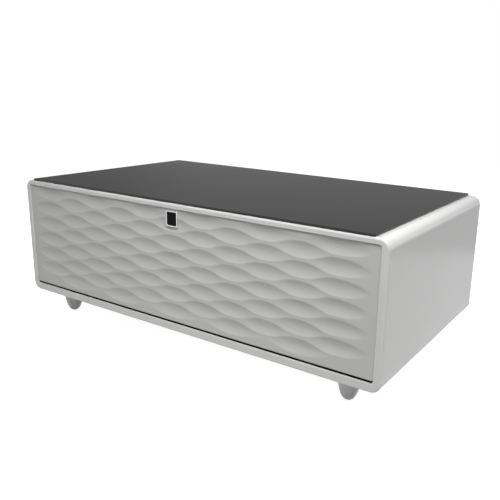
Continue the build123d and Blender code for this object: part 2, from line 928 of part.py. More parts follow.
def filter_drier():
    """Canister on the coil's return pipe, with a narrow neck at each end."""
    end = drier_start + drier_length
    body = stub(drier_radius, (drier_start + drier_neck, end - drier_neck), coil_y, drier_z)
    return body + stub(drier_radius / 2, (drier_start, end), coil_y, drier_z)


def discharge_line():
    """From the compressor over the fan to the first pass of the coil."""
    start_x = compressor_x - compressor_radius - port_length
    z = compressor_low_z + discharge_port_rise
    return tube([(start_x, coil_y, z), (start_x - line_drop_run, coil_y, z),
                 (start_x - line_drop_run, coil_y, coil_top_z), (coil_right, coil_y, coil_top_z)],
                line_radius, line_bend, pipe_sides)


def suction_line():
    """From the evaporator through the partition to the compressor."""
    end_x = compressor_x - compressor_radius - port_length
    z = compressor_low_z + suction_port_rise
    return tube([(suction_entry_x, cavity_back, entry_z), (suction_entry_x, suction_y, entry_z),
                 (suction_entry_x, suction_y, z), (end_x, suction_y, z)],
                suction_radius, line_bend - suction_radius, pipe_sides)


def capillary_line():
    """From the drier through the partition to the evaporator."""
    start_x = drier_start + drier_length
    turn_x = start_x + line_drop_run
    return tube([(start_x, coil_y, drier_z), (turn_x, coil_y, drier_z), (turn_x, coil_y, entry_z),
                 (capillary_entry_x, coil_y, entry_z), (capillary_entry_x, cavity_back, entry_z)],
                line_radius, line_bend, pipe_sides)


def fan_frame():
    """Square frame with a round duct, and struts that hold the motor in the middle."""
    frame = extrude(Rectangle(fan_size, fan_size), fan_depth)
    frame = chamfer(frame.edges().filter_by(Axis.Z), fan_corner_cut)
    frame -= Pos(0, 0, fan_depth / 2) * Cylinder(fan_duct_radius, fan_depth + overrun)
    motor_low = fan_depth - fan_motor_length
    for n in range(fan_struts):
        strut = block((0, fan_duct_radius + fan_strut_width / 2), (-fan_strut_width / 2, fan_strut_width / 2),
                      (motor_low, fan_depth))
        frame += Rot(0, 0, 45 + 360 / fan_struts * n) * strut
    frame += disc(fan_hub_radius, 0, 0, (motor_low, fan_depth))
    hole = RegularPolygon(fan_shaft_radius + fan_shaft_gap, disc_sides, major_radius=False)
    frame -= Pos(0, 0, motor_low) * extrude(hole, fan_motor_length / 2)
    return Pos(fan_face, machine_mid_y, fan_z) * Rot(0, 90, 0) * frame


def fan_blade():
    """Flat blade along X from inside the hub, pitched about its middle line."""
    half_span = fan_blade_width / 2 * math.cos(math.radians(fan_blade_pitch)) + fan_blade_thickness / 2
    root = fan_hub_radius / 2
    reach = math.sqrt((fan_duct_radius - fan_tip_gap) ** 2 - half_span ** 2)
    blade = Box(reach - root, fan_blade_width, fan_blade_thickness)
    return Pos((root + reach) / 2, 0, fan_hub_length / 2) * Rot(fan_blade_pitch, 0, 0) * blade


def fan_rotor():
    hub_low = fan_blade_thickness
    hub_top = hub_low + fan_hub_length
    rotor = disc(fan_hub_radius, 0, 0, (hub_low, hub_top))
    blade = Pos(0, 0, hub_low) * fan_blade()
    for n in range(fan_blades):
        rotor += Rot(0, 0, 360 / fan_blades * n) * blade
    shaft_end = fan_depth - fan_motor_length * 2 / 3
    rotor += disc(fan_shaft_radius, 0, 0, (hub_top, shaft_end))
    return Pos(fan_face, machine_mid_y, fan_z) * Rot(0, 90, 0) * rotor


def board_corner_places():
    half_x = board_length / 2 - standoff_inset
    half_z = board_width / 2 - standoff_inset
    return [(board_x + sx * half_x, board_z + sz * half_z) for sx in (-1, 1) for sz in (-1, 1)]


def standoff(x, z):
    """Hexagon pillar between the partition and a corner of the control board."""
    section = Pos(x, z) * RegularPolygon(standoff_radius, standoff_sides)
    return along_y(section, (partition_back, partition_back + standoff_length))


# What stands on the control board, in shares of its length and width: left, low, length, height,
# and how far each stands out as a share of its width
board_piece_shares = [
    (0.10, 0.12, 0.24, 0.34, 0.28),
    (0.40, 0.14, 0.16, 0.24, 0.20),
    (0.62, 0.16, 0.13, 0.20, 0.15),
    (0.80, 0.18, 0.12, 0.20, 0.15),
    (0.14, 0.58, 0.30, 0.08, 0.12),
    (0.52, 0.52, 0.12, 0.12, 0.03),
    (0.74, 0.62, 0.16, 0.22, 0.10),
]


def control_board():
    front = partition_back + standoff_length
    face = front + board_thickness
    left = board_x - board_length / 2
    low = board_z - board_width / 2
    board = block((left, left + board_length), (front, face), (low, low + board_width))
    for from_left, from_low, length, height, stand in board_piece_shares:
        x = left + from_left * board_length
        z = low + from_low * board_width
        board += block((x, x + length * board_length), (face, face + stand * board_width),
                       (z, z + height * board_width))
    return board


def power_supply():
    low_x = supply_x - supply_width / 2
    return block((low_x, low_x + supply_width), (partition_back, partition_back + supply_length),
                 (floor_z, floor_z + supply_height))


# Write every node

pieces = {
    "cabinet_shell": cabinet_shell(),
    "glass_top": glass_top(),
    "glass_tape": glass_tape(),
    "touch_board": touch_board(),
    "foot_plates": group(foot_plate(x, y) for x, y in foot_places.values()),
    "light_bar": light_bar(),
    "light_bar_leds": light_bar_leds(),
    "drawer_front": drawer_front(),
    "badge_frame": badge_frame(),
    "badge_plate": badge_plate(),
    "drawer_inner_panel": drawer_inner_panel(),
    "drawer_gasket": drawer_gasket(),
    "inner_liner": inner_liner(),
    "insulation": insulation(),
    "evaporator": evaporator(),
    "interior_lamp": interior_lamp(),
    "temperature_sensor": temperature_sensor(),
    "food_tub": food_tub(),
    "tub_divider_left": tub_divider(-divider_x),
    "tub_divider_right": tub_divider(divider_x),
    "machine_partition": machine_partition(),
    "back_panel": back_panel(),
    "cord_gland": cord_gland(),
    "compressor": compressor(),
    "compressor_base": compressor_base(),
    "compressor_grommets": group(grommet(x, y) for x, y in mount_places()),
    "compressor_bolts": group(mount_bolt(x, y) for x, y in mount_places()),
    "condenser_coil": condenser_coil(),
    "condenser_wires": group(condenser_wires()),
    "condenser_posts": group(condenser_post(x) for x in (
        coil_left + coil_post_inset, coil_right - coil_post_inset - coil_post_width)),
    "filter_drier": filter_drier(),
    "discharge_line": discharge_line(),
    "suction_line": suction_line(),
    "capillary_line": capillary_line(),
    "fan_frame": fan_frame(),
    "fan_rotor": fan_rotor(),
    "board_standoffs": group(standoff(x, z) for x, z in board_corner_places()),
    "control_board": control_board(),
    "power_supply": power_supply(),
}
for place, (foot_at_x, foot_at_y) in foot_places.items():
    pieces[f"foot_{place}"] = foot(foot_at_x, foot_at_y)
    pieces[f"foot_glide_{place}"] = foot_glide(foot_at_x, foot_at_y)
for name, member in runner_members().items():
    for side, piece in both_sides(member).items():
        pieces[f"runner_{name}_{side}"] = piece
for side, piece in both_sides(side_bracket()).items():
    pieces[f"side_bracket_{side}"] = piece

for node, shape in pieces.items():
    save(node, shape)
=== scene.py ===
import bmesh
import bpy
from math import asin, cos, pi, radians, sin, sqrt, tan
from mathutils import Matrix, Vector


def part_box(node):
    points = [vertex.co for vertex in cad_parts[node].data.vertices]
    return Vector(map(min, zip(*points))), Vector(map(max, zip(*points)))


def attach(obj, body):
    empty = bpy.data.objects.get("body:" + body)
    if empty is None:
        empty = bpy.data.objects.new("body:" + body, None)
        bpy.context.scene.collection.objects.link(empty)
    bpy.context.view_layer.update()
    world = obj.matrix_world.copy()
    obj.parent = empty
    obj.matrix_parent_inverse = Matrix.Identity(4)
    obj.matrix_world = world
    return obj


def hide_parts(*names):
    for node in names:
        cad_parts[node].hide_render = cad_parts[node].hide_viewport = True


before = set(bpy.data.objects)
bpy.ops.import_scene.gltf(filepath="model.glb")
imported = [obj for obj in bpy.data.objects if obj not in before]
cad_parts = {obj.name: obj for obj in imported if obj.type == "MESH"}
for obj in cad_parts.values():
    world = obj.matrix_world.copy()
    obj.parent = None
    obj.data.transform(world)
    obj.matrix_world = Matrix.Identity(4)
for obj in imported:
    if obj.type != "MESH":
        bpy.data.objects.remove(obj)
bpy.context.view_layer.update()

scene = bpy.context.scene
MM = 0.001


# Camera, from the photograph's vanishing lines

camera_place = (1.1454, -1.5510, 0.7749)
camera_azimuth = 32.93
camera_elevation = 14.81
camera_roll = 1.41
focal_pixels = 604.0
centre_pixel = (282.0, 244.9)
image_pixels = 500.0
sensor = 36.0


def place_camera():
    data = bpy.data.cameras.new("camera")
    data.sensor_width = sensor
    data.lens = focal_pixels / image_pixels * sensor
    data.shift_x = (image_pixels / 2 - centre_pixel[0]) / image_pixels
    data.shift_y = (centre_pixel[1] - image_pixels / 2) / image_pixels
    data.clip_start = 0.05
    data.clip_end = 100.0
    camera = bpy.data.objects.new("camera", data)
    scene.collection.objects.link(camera)
    turn = radians(camera_azimuth)
    tilt = radians(camera_elevation)
    roll = radians(camera_roll)
    back = Vector((sin(turn) * cos(tilt), -cos(turn) * cos(tilt), sin(tilt)))
    level = (-back).cross(Vector((0, 0, 1))).normalized()
    upright = level.cross(-back)
    right = cos(roll) * level + sin(roll) * upright
    up = cos(roll) * upright - sin(roll) * level
    axes = Matrix((right, up, back)).transposed().to_4x4()
    camera.matrix_world = Matrix.Translation(camera_place) @ axes
    scene.camera = camera


place_camera()


# Materials

tone_detail = 4.0
grain_detail = 3.0
grain_range = (0.25, 0.75)
coat_roughness = 0.05


def feed(tree, sockets, inputs):
    """Each input that is given a socket is linked to it, and any other is set."""
    for key, value in inputs.items():
        if isinstance(value, bpy.types.NodeSocket):
            tree.links.new(value, sockets[key])
        else:
            sockets[key].default_value = value


def node(tree, kind, inputs=(), **values):
    """A shader node with its settings and inputs."""
    made = tree.nodes.new("ShaderNode" + kind)
    for key, value in values.items():
        setattr(made, key, value)
    feed(tree, made.inputs, dict(inputs))
    return made


def finish(name, base, shade, tone_scale, roughness, swing, grain, metallic=0.0, coat=0.0,
           stretch=(1, 1, 1), specular=0.5, alpha=1.0, sheen=0.0):
    """A procedural material: a slow change of tone, and a fine grain in its roughness and bump."""
    strength, scale, depth = grain
    made = bpy.data.materials.new(name)
    made.use_nodes = True
    tree = made.node_tree
    place = node(tree, "TexCoord").outputs["Object"]
    place = node(tree, "Mapping", {"Vector": place, "Scale": stretch}).outputs["Vector"]
    tone = node(tree, "TexNoise", {"Vector": place, "Scale": tone_scale, "Detail": tone_detail})
    colour = node(tree, "Mix", {"Factor": tone.outputs["Fac"], "A": (*base, 1), "B": (*shade, 1)},
                  data_type="RGBA")
    noise = node(tree, "TexNoise", {"Vector": place, "Scale": scale, "Detail": grain_detail})
    height = noise.outputs["Fac"]
    low, high = grain_range
    gloss = node(tree, "MapRange", {"Value": height, "From Min": low, "From Max": high,
                                    "To Min": roughness - swing, "To Max": roughness + swing})
    relief = node(tree, "Bump", {"Height": height, "Strength": strength, "Distance": depth * MM})
    feed(tree, tree.nodes["Principled BSDF"].inputs, {
        "Base Color": colour.outputs["Result"], "Roughness": gloss.outputs["Result"],
        "Normal": relief.outputs["Normal"], "Metallic": metallic, "Coat Weight": coat,
        "Coat Roughness": coat_roughness, "Specular IOR Level": specular, "Alpha": alpha,
        "Sheen Weight": sheen})
    return made


shell_white = finish("shell_white", (0.70, 0.70, 0.695), (0.67, 0.67, 0.66), 2.0, 0.16, 0.03,
                     (0.05, 220, 0.12), coat=0.5)
front_white = finish("front_white", (0.588, 0.593, 0.583), (0.558, 0.563, 0.548), 3.0, 0.34, 0.05,
                     (0.08, 260, 0.12), coat=0.05)
foot_grey = finish("foot_grey", (0.72, 0.72, 0.715), (0.68, 0.68, 0.675), 20, 0.2, 0.04, (0.05, 400, 0.1),
                   coat=0.4)
glass_black = finish("glass_black", (0.010, 0.010, 0.011), (0.014, 0.014, 0.015), 2.0, 0.08, 0.02,
                     (0.01, 12, 0.2), specular=0.45)
# Smoked diffuser of the light bar, near-black and barely reflecting: its colour is partly the diffuser's own
# and partly painted shade for the dark gap under the drawer front
diffuser_smoke = finish("diffuser_smoke", (0.006, 0.006, 0.007), (0.010, 0.010, 0.011), 8, 0.45, 0.06,
                        (0.05, 500, 0.1), specular=0.06)
badge_chrome = finish("badge_chrome", (0.80, 0.80, 0.81), (0.72, 0.72, 0.74), 90, 0.16, 0.04,
                      (0.03, 900, 0.05), metallic=1.0)
badge_black = finish("badge_black", (0.006, 0.006, 0.007), (0.010, 0.010, 0.011), 60, 0.16, 0.03,
                     (0.02, 700, 0.05), specular=0.04)
rubber_black = finish("rubber_black", (0.03, 0.03, 0.03), (0.045, 0.045, 0.043), 60, 0.68, 0.08,
                      (0.3, 1800, 0.1), specular=0.3)
glide_felt = finish("glide_felt", (0.22, 0.22, 0.22), (0.34, 0.34, 0.33), 500, 0.9, 0.05, (0.8, 2500, 0.3),
                    sheen=0.5)
tape_black = finish("tape_black", (0.02, 0.02, 0.02), (0.03, 0.03, 0.03), 80, 0.6, 0.06, (0.2, 1500, 0.1))
steel = finish("steel", (0.50, 0.51, 0.53), (0.42, 0.43, 0.45), 30, 0.32, 0.10, (0.15, 250, 0.05),
               metallic=1.0, stretch=(1, 0.06, 1))
liner_white = finish("liner_white", (0.62, 0.63, 0.64), (0.58, 0.59, 0.60), 5, 0.38, 0.05, (0.12, 900, 0.08))
gasket_grey = finish("gasket_grey", (0.30, 0.30, 0.31), (0.25, 0.25, 0.26), 40, 0.55, 0.07,
                     (0.2, 1500, 0.08), specular=0.35)
foam = finish("foam", (0.72, 0.60, 0.33), (0.60, 0.48, 0.24), 60, 0.85, 0.08, (0.9, 500, 0.8), specular=0.2)
aluminium = finish("aluminium", (0.66, 0.67, 0.68), (0.58, 0.59, 0.61), 12, 0.34, 0.10, (0.15, 200, 0.05),
                   metallic=1.0, stretch=(0.08, 1, 1))
lamp_clear = finish("lamp_clear", (0.85, 0.87, 0.88), (0.80, 0.82, 0.84), 50, 0.45, 0.08, (0.3, 900, 0.15))
divider_clear = finish("divider_clear", (0.78, 0.84, 0.86), (0.72, 0.79, 0.82), 6, 0.10, 0.04,
                       (0.03, 500, 0.05), alpha=0.42)
board_green = finish("board_green", (0.02, 0.13, 0.06), (0.03, 0.17, 0.08), 160, 0.36, 0.08, (0.3, 900, 0.08))
panel_grey = finish("panel_grey", (0.24, 0.25, 0.26), (0.20, 0.21, 0.22), 6, 0.48, 0.08, (0.35, 1300, 0.08))
black_plastic = finish("black_plastic", (0.03, 0.03, 0.03), (0.042, 0.042, 0.042), 40, 0.45, 0.08,
                       (0.25, 1600, 0.06))
pot_black = finish("pot_black", (0.022, 0.022, 0.023), (0.035, 0.035, 0.036), 18, 0.32, 0.08,
                   (0.25, 350, 0.12), coat=0.2)
coil_black = finish("coil_black", (0.03, 0.03, 0.032), (0.05, 0.05, 0.052), 60, 0.38, 0.08, (0.2, 900, 0.08))
relay_blue = finish("relay_blue", (0.03, 0.10, 0.30), (0.04, 0.13, 0.36), 40, 0.35, 0.06, (0.15, 900, 0.05))
tape_yellow = finish("tape_yellow", (0.62, 0.44, 0.06), (0.54, 0.37, 0.05), 40, 0.30, 0.08,
                     (0.25, 400, 0.08), coat=0.2)
copper = finish("copper", (0.62, 0.30, 0.17), (0.48, 0.22, 0.12), 45, 0.28, 0.10, (0.1, 700, 0.05),
                metallic=1.0)


# Mesh helpers, with every size in millimetres

def span(name):
    """The low and high X, Y and Z of a CAD node."""
    low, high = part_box(name)
    return [(low[axis] / MM, high[axis] / MM) for axis in range(3)]


def piece(name, skin, material, replaces=(), angle=35.0, weighted=True, body="cabinet"):
    """A mesh with outward normals, smooth shading and a material, which rides on a body."""
    verts, faces = skin
    mesh = bpy.data.meshes.new(name)
    mesh.from_pydata([(x * MM, y * MM, z * MM) for x, y, z in verts], [], faces)
    mesh.validate()
    work = bmesh.new()
    work.from_mesh(mesh)
    bmesh.ops.recalc_face_normals(work, faces=work.faces)
    work.to_mesh(mesh)
    work.free()
    mesh.materials.append(material)
    mesh.polygons.foreach_set("use_smooth", [True] * len(mesh.polygons))
    mesh.set_sharp_from_angle(angle=radians(angle))
    obj = bpy.data.objects.new(name, mesh)
    scene.collection.objects.link(obj)
    if weighted:
        flat = obj.modifiers.new("flat_faces", "WEIGHTED_NORMAL")
        flat.keep_sharp = True
    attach(obj, body)
    if replaces:
        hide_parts(*replaces)


def loft(loops, ring=False):
    """Skin through loops of the same count, with its ends capped, or joined to each other as a ring."""
    count = len(loops[0])
    verts = [point for loop in loops for point in loop]
    faces = []
    last = len(loops) if ring else len(loops) - 1
    for n in range(last):
        low = n * count
        high = (n + 1) % len(loops) * count
        for k in range(count):
            m = (k + 1) % count
            faces.append((low + k, low + m, high + m, high + k))
    if not ring:
        faces.append(tuple(range(count)))
        faces.append(tuple(len(verts) - 1 - k for k in range(count)))
    return verts, faces


def joined(skins):
    """Several skins as the one mesh of a piece."""
    verts = []
    faces = []
    for more_verts, more_faces in skins:
        start = len(verts)
        verts += more_verts
        faces += [tuple(start + k for k in face) for face in more_faces]
    return verts, faces


def grown(a, offset):
    """Low and high values, each moved outwards."""
    return a[0] - offset, a[1] + offset


def about(middle, half):
    """Low and high values on both sides of a middle."""
    return middle - half, middle + half


def even(a, count):
    """Evenly spaced values from the first to the last."""
    return [a[0] + (a[1] - a[0]) * n / (count - 1) for n in range(count)]


def mirrored(outline, low, high):
    """An outline of radius and rise at the low end, and the same at the high end."""
    rows = [(radius, low + rise) for radius, rise in outline]
    return rows + [(radius, high - rise) for radius, rise in reversed(outline)]


def rounded(a, b, radius, steps, inset=0.0):
    """Corners of a rounded rectangle in two axes, in order. An inset moves all its sides inwards."""
    points = []
    for k, (side_a, side_b) in enumerate(((1, 1), (-1, 1), (-1, -1), (1, -1))):
        mid_a = (a[1] - radius) if side_a > 0 else (a[0] + radius)
        mid_b = (b[1] - radius) if side_b > 0 else (b[0] + radius)
        for n in range(steps + 1):
            turn = pi / 2 * (k + n / steps)
            reach = radius - inset
            points.append((mid_a + reach * cos(turn), mid_b + reach * sin(turn)))
    return points


def at_x(points, x):
    return [(x, y, z) for y, z in points]


def at_y(points, y):
    return [(x, y, z) for x, z in points]


def at_z(points, z):
    return [(x, y, z) for x, y in points]


def quarter(size, steps):
    """Places along a quarter round: how far each has moved in, and how far it is below the face."""
    turns = [pi / 2 * n / steps for n in range(steps + 1)]
    return [(size * (1 - cos(turn)), size * (1 - sin(turn))) for turn in turns]


def plate(place, a, b, radius, steps, back, face, edge, edge_steps=1):
    """Loops of a rounded plate from its back to its face, with a round or bevel on the face's edge."""
    side = 1 if face > back else -1
    loops = [place(rounded(a, b, radius, steps), back)]
    loops += [place(rounded(a, b, radius, steps, inset), face - side * drop)
              for inset, drop in quarter(edge, edge_steps)]
    return loops


def slab(x, y, z, soft):
    """A block with soft edges."""
    radius = 1.5 * soft
    loops = [at_z(rounded(x, y, radius, 3, inset), z[0] + rise) for rise, inset in quarter(soft, 2)]
    loops += [at_z(rounded(x, y, radius, 3, inset), z[1] - drop) for inset, drop in quarter(soft, 2)]
    return loft(loops)


def lathe(profile, axis, centre, segments, ring=False):
    """A turned skin from each radius and its place along the axis. A third value makes it a hexagon."""
    loops = []
    for radius, along, *hexagon in profile:
        loop = []
        for n in range(segments):
            turn = 2 * pi * n / segments
            reach = radius
            if hexagon:
                reach = radius * cos(pi / 6) / cos(turn % (pi / 3) - pi / 6)
            u = reach * cos(turn)
            v = reach * sin(turn)
            x, y, z = {"X": (along, u, v), "Y": (u, along, v), "Z": (u, v, along)}[axis]
            loop.append((centre[0] + x, centre[1] + y, centre[2] + z))
        loops.append(loop)
    return loft(loops, ring)


# Cabinet shell

shell_radius = 28.0
shell_inner_radius = 6.0
rim_round = 6.0
mouth_round = 0.7
back_round = 1.5
rebate_width = 9.0
rebate_depth = 6.0
opening_x = (-630.0, 630.0)
opening_z = (100.5, 439.0)
corner_steps = 20


def shell_piece():
    x, y, z = span("cabinet_shell")
    front, back = y

    def outside(inset):
        return rounded(x, z, shell_radius, corner_steps, inset)

    def opening(outset):
        return rounded(opening_x, opening_z, shell_inner_radius, corner_steps, -outset)

    rebate = rounded(grown(opening_x, rebate_width), grown(opening_z, rebate_width),
                     shell_inner_radius, corner_steps)
    loops = [at_y(outside(inset), back - drop) for inset, drop in reversed(quarter(back_round, 3))]
    loops += [at_y(outside(inset), front + drop) for inset, drop in quarter(rim_round, 10)]
    loops += [at_y(opening(outset), front + drop) for drop, outset in quarter(mouth_round, 4)]
    loops += [at_y(opening(0), back - rebate_depth), at_y(rebate, back - rebate_depth), at_y(rebate, back)]
    piece("shell", loft(loops, ring=True), shell_white, ["cabinet_shell"])


shell_piece()


# Drawer front with its carved waves

wave_count = 6
wave_rows = 12
row_pitch = 25.25
first_row_drop = 19.0
groove_radius = 64.0
crest_swing = 9.0
crest_depth = 0.15
crest_blend = 0.09
front_radius = 4.5
front_round = 0.9
front_back_bevel = 0.4
front_corner_steps = 6
front_columns = 240
front_rows = 232
gap_share = 0.35


class Waves:
    """Depth of the relief at a place on the drawer front."""

    def __init__(self, x, z):
        self.quarter = (x[1] - x[0]) / wave_count / 4
        self.swing = crest_swing * row_pitch / (2 * groove_radius)
        self.depth = (row_pitch ** 2 / 4 + crest_swing ** 2) / (2 * groove_radius) + crest_depth
        self.bend = (self.quarter ** 2 + self.swing ** 2) / (2 * self.swing)
        self.slope = tan(asin(self.quarter / self.bend))
        self.rows = [z[1] - first_row_drop - n * row_pitch for n in range(wave_rows)]

    def bottoms(self, x):
        """Depth of the bottom of each groove at one place along the front."""
        return [self.bottom(row, x) for row in range(wave_rows)]

    def bottom(self, row, x):
        """Depth of the bottom of one groove: arcs that swing in and out, with a run-out at each end."""
        lenses = wave_count - row % 2
        end = (2 * lenses - 1) * self.quarter
        past = abs(x) - end
        if past > 0:
            return self.depth - past * self.slope
        place = (x + end) / (2 * self.quarter)
        arc = min(int(place), 2 * lenses - 2)
        across = (place - arc - 0.5) * 2 * self.quarter
        side = 1 if arc % 2 == 0 else -1
        sag = self.bend - sqrt(self.bend ** 2 - across ** 2)
        return self.depth + side * (self.swing - sag)

    def at(self, bottoms, z):
        """The deepest groove wins, and a soft blend rounds the crest between two of them."""
        depth = 0.0
        for row, deep in zip(self.rows, bottoms):
            away = abs(z - row)
            if deep > 0 and away < row_pitch:
                here = deep - (groove_radius - sqrt(groove_radius ** 2 - away ** 2))
                depth = (depth + here + sqrt((depth - here) ** 2 + crest_blend ** 2)) / 2
        return max(0.0, depth)


def corner_turns(base, start):
    """Directions round one corner of the drawer front, between those of its two sides."""
    turns = [radians(start + 90 * n / front_corner_steps) for n in range(1, front_corner_steps)]
    return [(base, cos(turn), sin(turn)) for turn in turns]


def front_piece():
    """A grid of the relief, then a rounded edge that starts all the way round it, and a flat back."""
    x, y, z = span("drawer_front")
    waves = Waves(x, z)
    closer = gap_share * (opening_x[1] - x[1])
    inner_x = grown(x, closer - front_radius)
    inner_z = (z[0] + front_radius, z[1] + closer - front_radius)
    heights = even(inner_z, front_rows + 1)
    verts = []
    for across in even(inner_x, front_columns + 1):
        bottoms = waves.bottoms(across)
        verts += [(across, y[0] + waves.at(bottoms, height), height) for height in heights]
    faces = []
    stride = front_rows + 1
    for n in range(front_columns):
        for k in range(front_rows):
            a = n * stride + k
            faces.append((a, a + stride, a + stride + 1, a + 1))

    right = front_columns * stride
    around = [(n * stride, 0, -1) for n in range(front_columns + 1)]
    around += corner_turns(right, -90)
    around += [(right + k, 1, 0) for k in range(front_rows + 1)]
    around += corner_turns(right + front_rows, 0)
    around += [(n * stride + front_rows, 0, 1) for n in range(front_columns, -1, -1)]
    around += corner_turns(front_rows, 90)
    around += [(k, -1, 0) for k in range(front_rows, -1, -1)]
    around += corner_turns(0, 180)
    edge = [(front_radius - inset, y[0] + drop) for drop, inset in quarter(front_round, 4)]
    edge += [(front_radius, y[1] - front_back_bevel), (front_radius - front_back_bevel, y[1])]
    previous = [base for base, _, _ in around]
    for reach, depth_y in edge:
        start = len(verts)
        for base, nx, nz in around:
            px = verts[base][0] + nx * reach
            pz = verts[base][2] + nz * reach
            deep = waves.at(waves.bottoms(px), pz)
            verts.append((px, max(depth_y, y[0] + deep), pz))
        loop = list(range(start, start + len(around)))
        for k in range(len(around)):
            m = (k + 1) % len(around)
            corners = (previous[k], previous[m], loop[m], loop[k])
            faces.append(tuple(dict.fromkeys(corners)))
        previous = loop
    faces.append(tuple(previous))
    faces = [face for face in faces if len(face) > 2]
    piece("wave_front", (verts, faces), front_white, ["drawer_front"], 40, False, body="drawer")


front_piece()


# Glass top

glass_radius = 3.0
glass_arris = 0.8
glass_under_arris = 0.3


def glass_piece():
    x, y, z = span("glass_top")
    loops = [at_z(rounded(x, y, glass_radius, 8, glass_under_arris), z[0])]
    loops += plate(at_z, x, y, glass_radius, 8, z[0] + glass_under_arris, z[1], glass_arris, 4)
    piece("glass_plate", loft(loops), glass_black, ["glass_top"])


glass_piece()


# Feet and glides

foot_fullness = 0.8
foot_rings = 24
glide_low_edge = ((0.8, 0.0), (0.2, 0.25), (0.0, 0.8))
glide_top_edge = ((0.0, 0.3), (0.3, 0.0))


def round_node(name):
    """Centre, radius and height of a CAD node that stands upright and is round."""
    x, y, z = span(name)
    return (sum(x) / 2, sum(y) / 2, 0), (x[1] - x[0]) / 2, z


def foot_piece(place):
    centre, radius, (low, top) = round_node(f"foot_{place}")
    low_turn = asin((top - low) / top)
    profile = []
    for n in range(foot_rings + 1):
        turn = low_turn * (1 - n / foot_rings)
        profile.append((radius * cos(turn) ** foot_fullness, top * (1 - sin(turn))))
    skin = lathe(profile, "Z", centre, 56)
    piece(f"leg_{place}", skin, foot_grey, [f"foot_{place}"], 50, False)


def glide_piece(place):
    centre, radius, (low, top) = round_node(f"foot_glide_{place}")
    profile = [(radius - inset, low + rise) for inset, rise in glide_low_edge]
    profile += [(radius - inset, top - drop) for inset, drop in glide_top_edge]
    skin = lathe(profile, "Z", centre, 32)
    piece(f"felt_{place}", skin, glide_felt, [f"foot_glide_{place}"], 50)


for corner in ("front_left", "front_right", "back_left", "back_right"):
    foot_piece(corner)
    glide_piece(corner)


# Badge and light bar

bar_round = 0.6


def badge_pieces():
    radius = 3.0
    border = 3.0
    soft = 0.5
    window_radius = 0.6
    face_round = 0.3
    x, y, z = span("badge_frame")
    window = (grown(x, -border), grown(z, -border), window_radius, 6)
    loops = plate(at_y, x, z, radius, 6, y[1], y[0], soft, 4)
    loops += [at_y(rounded(*window, -outset), y[0] + drop) for drop, outset in quarter(soft, 4)]
    loops.append(at_y(rounded(*window), y[1]))
    piece("badge_rim", loft(loops, ring=True), badge_chrome, ["badge_frame"], body="drawer")
    x, y, z = span("badge_plate")
    loops = plate(at_y, x, z, window_radius, 6, y[1], y[0], face_round, 3)
    piece("badge_face", loft(loops), badge_black, ["badge_plate"], body="drawer")


def light_bar_piece():
    x, y, z = span("light_bar")
    loops = plate(at_y, x, z, (z[1] - z[0]) / 2, 8, y[1], y[0], bar_round, 4)
    # The diffuser's near-black colour is partly painted shade, standing in for the shadow in the gap under
    # the drawer front
    piece("light_diffuser", loft(loops), diffuser_smoke, ["light_bar"])


badge_pieces()
light_bar_piece()


# Screws

head_outline_shares = ((1.0, 0.0), (1.0, 0.5), (0.93, 0.8), (0.75, 1.0))
socket_outline_shares = ((0.495, 1.0), (0.45, 0.9), (0.45, 0.35))
panel_screw_inset = 4.4
panel_screw_end = 40.0
panel_screw_columns = 7
panel_screw_rows = 4
tab_screw_inset = 4.2
tab_screw_rise = 14.0
tab_thickness = 1.5


def screws(name, body, places, axis, side, radius, height):
    """Round heads with a hexagon socket, which stand out to one side along an axis."""
    profile = [(radius * wide, side * height * out) for wide, out in head_outline_shares]
    profile += [(radius * wide, side * height * out, True) for wide, out in socket_outline_shares]
    skin = joined([lathe(profile, axis, place, 24) for place in places])
    piece(name, skin, steel, angle=30, body=body)


def panel_screws():
    x, y, z = span("back_panel")
    face = y[1]
    columns = even(grown(x, -panel_screw_end), panel_screw_columns)
    heights = even(z, panel_screw_rows)[1:-1]
    places = [(along, face, up) for along in columns for up in grown(z, -panel_screw_inset)]
    places += [(along, face, up) for up in heights for along in grown(x, -panel_screw_inset)]
    screws("back_panel_screws", "cabinet", places, "Y", 1, radius=3.4, height=2.2)


def bracket_screws():
    face = span("drawer_inner_panel")[1][1] + tab_thickness
    for side, sign in (("left", -1), ("right", 1)):
        tab_x = sign * (max(abs(end) for end in span(f"side_bracket_{side}")[0]) - tab_screw_inset)
        middle = sum(span(f"runner_inner_{side}")[2]) / 2
        places = [(tab_x, face, up) for up in about(middle, tab_screw_rise)]
        screws(f"bracket_tab_screws_{side}", "drawer", places, "Y", 1, radius=2.6, height=1.8)


panel_screws()
bracket_screws()


# Gland for the supply cord

def gland_piece():
    x, y, z = span("cord_gland")
    inner, outer = span("back_panel")[1]
    centre = (sum(x) / 2, 0, sum(z) / 2)
    bore = 4.0
    body = 8.5
    catch = 10.0
    flange = (x[1] - x[0]) / 2
    profile = [(bore, y[0]), (body - 1.2, y[0]), (body, y[0] + 1.2), (body, inner - 4),
               (catch - 0.6, inner - 3.2), (catch, inner - 0.4), (catch - 0.4, inner), (body, inner),
               (body, outer), (flange - 0.3, outer), (flange, outer + 0.3), (flange, y[1] - 1.2),
               (flange - 0.4, y[1] - 0.4), (flange - 1.4, y[1]), (bore + 2.2, y[1]), (bore + 0.8, y[1] - 0.4),
               (bore, y[1] - 1.6)]
    skin = lathe(profile, "Y", centre, 48, ring=True)
    piece("supply_gland", skin, black_plastic, ["cord_gland"])


gland_piece()


# Gasket, inner panel and food tub of the drawer

gasket_width = 14.0
gasket_depth = 8.0
gasket_outline = ((0, 0), (0, 2.0), (0.7, 2.8), (2.2, 3.0), (3.4, 3.4), (3.8, 4.0), (3.0, 4.6), (3.2, 5.2),
                  (3.9, 5.6), (2.6, 6.0), (2.1, 6.6), (2.1, 7.4), (2.7, 8.0), (6.0, 7.85))
flange_radius = 2.0
flange_round = 0.8
plug_inset = 23.0
plug_radius = 14.0
plug_foot = 1.5
plug_round = 2.5
plug_draft = 1.0
recess_border = 26.0
recess_radius = 10.0
recess_outline = ((0, 0), (0.6, 0.2), (1.6, 1.8), (2.4, 2.0))


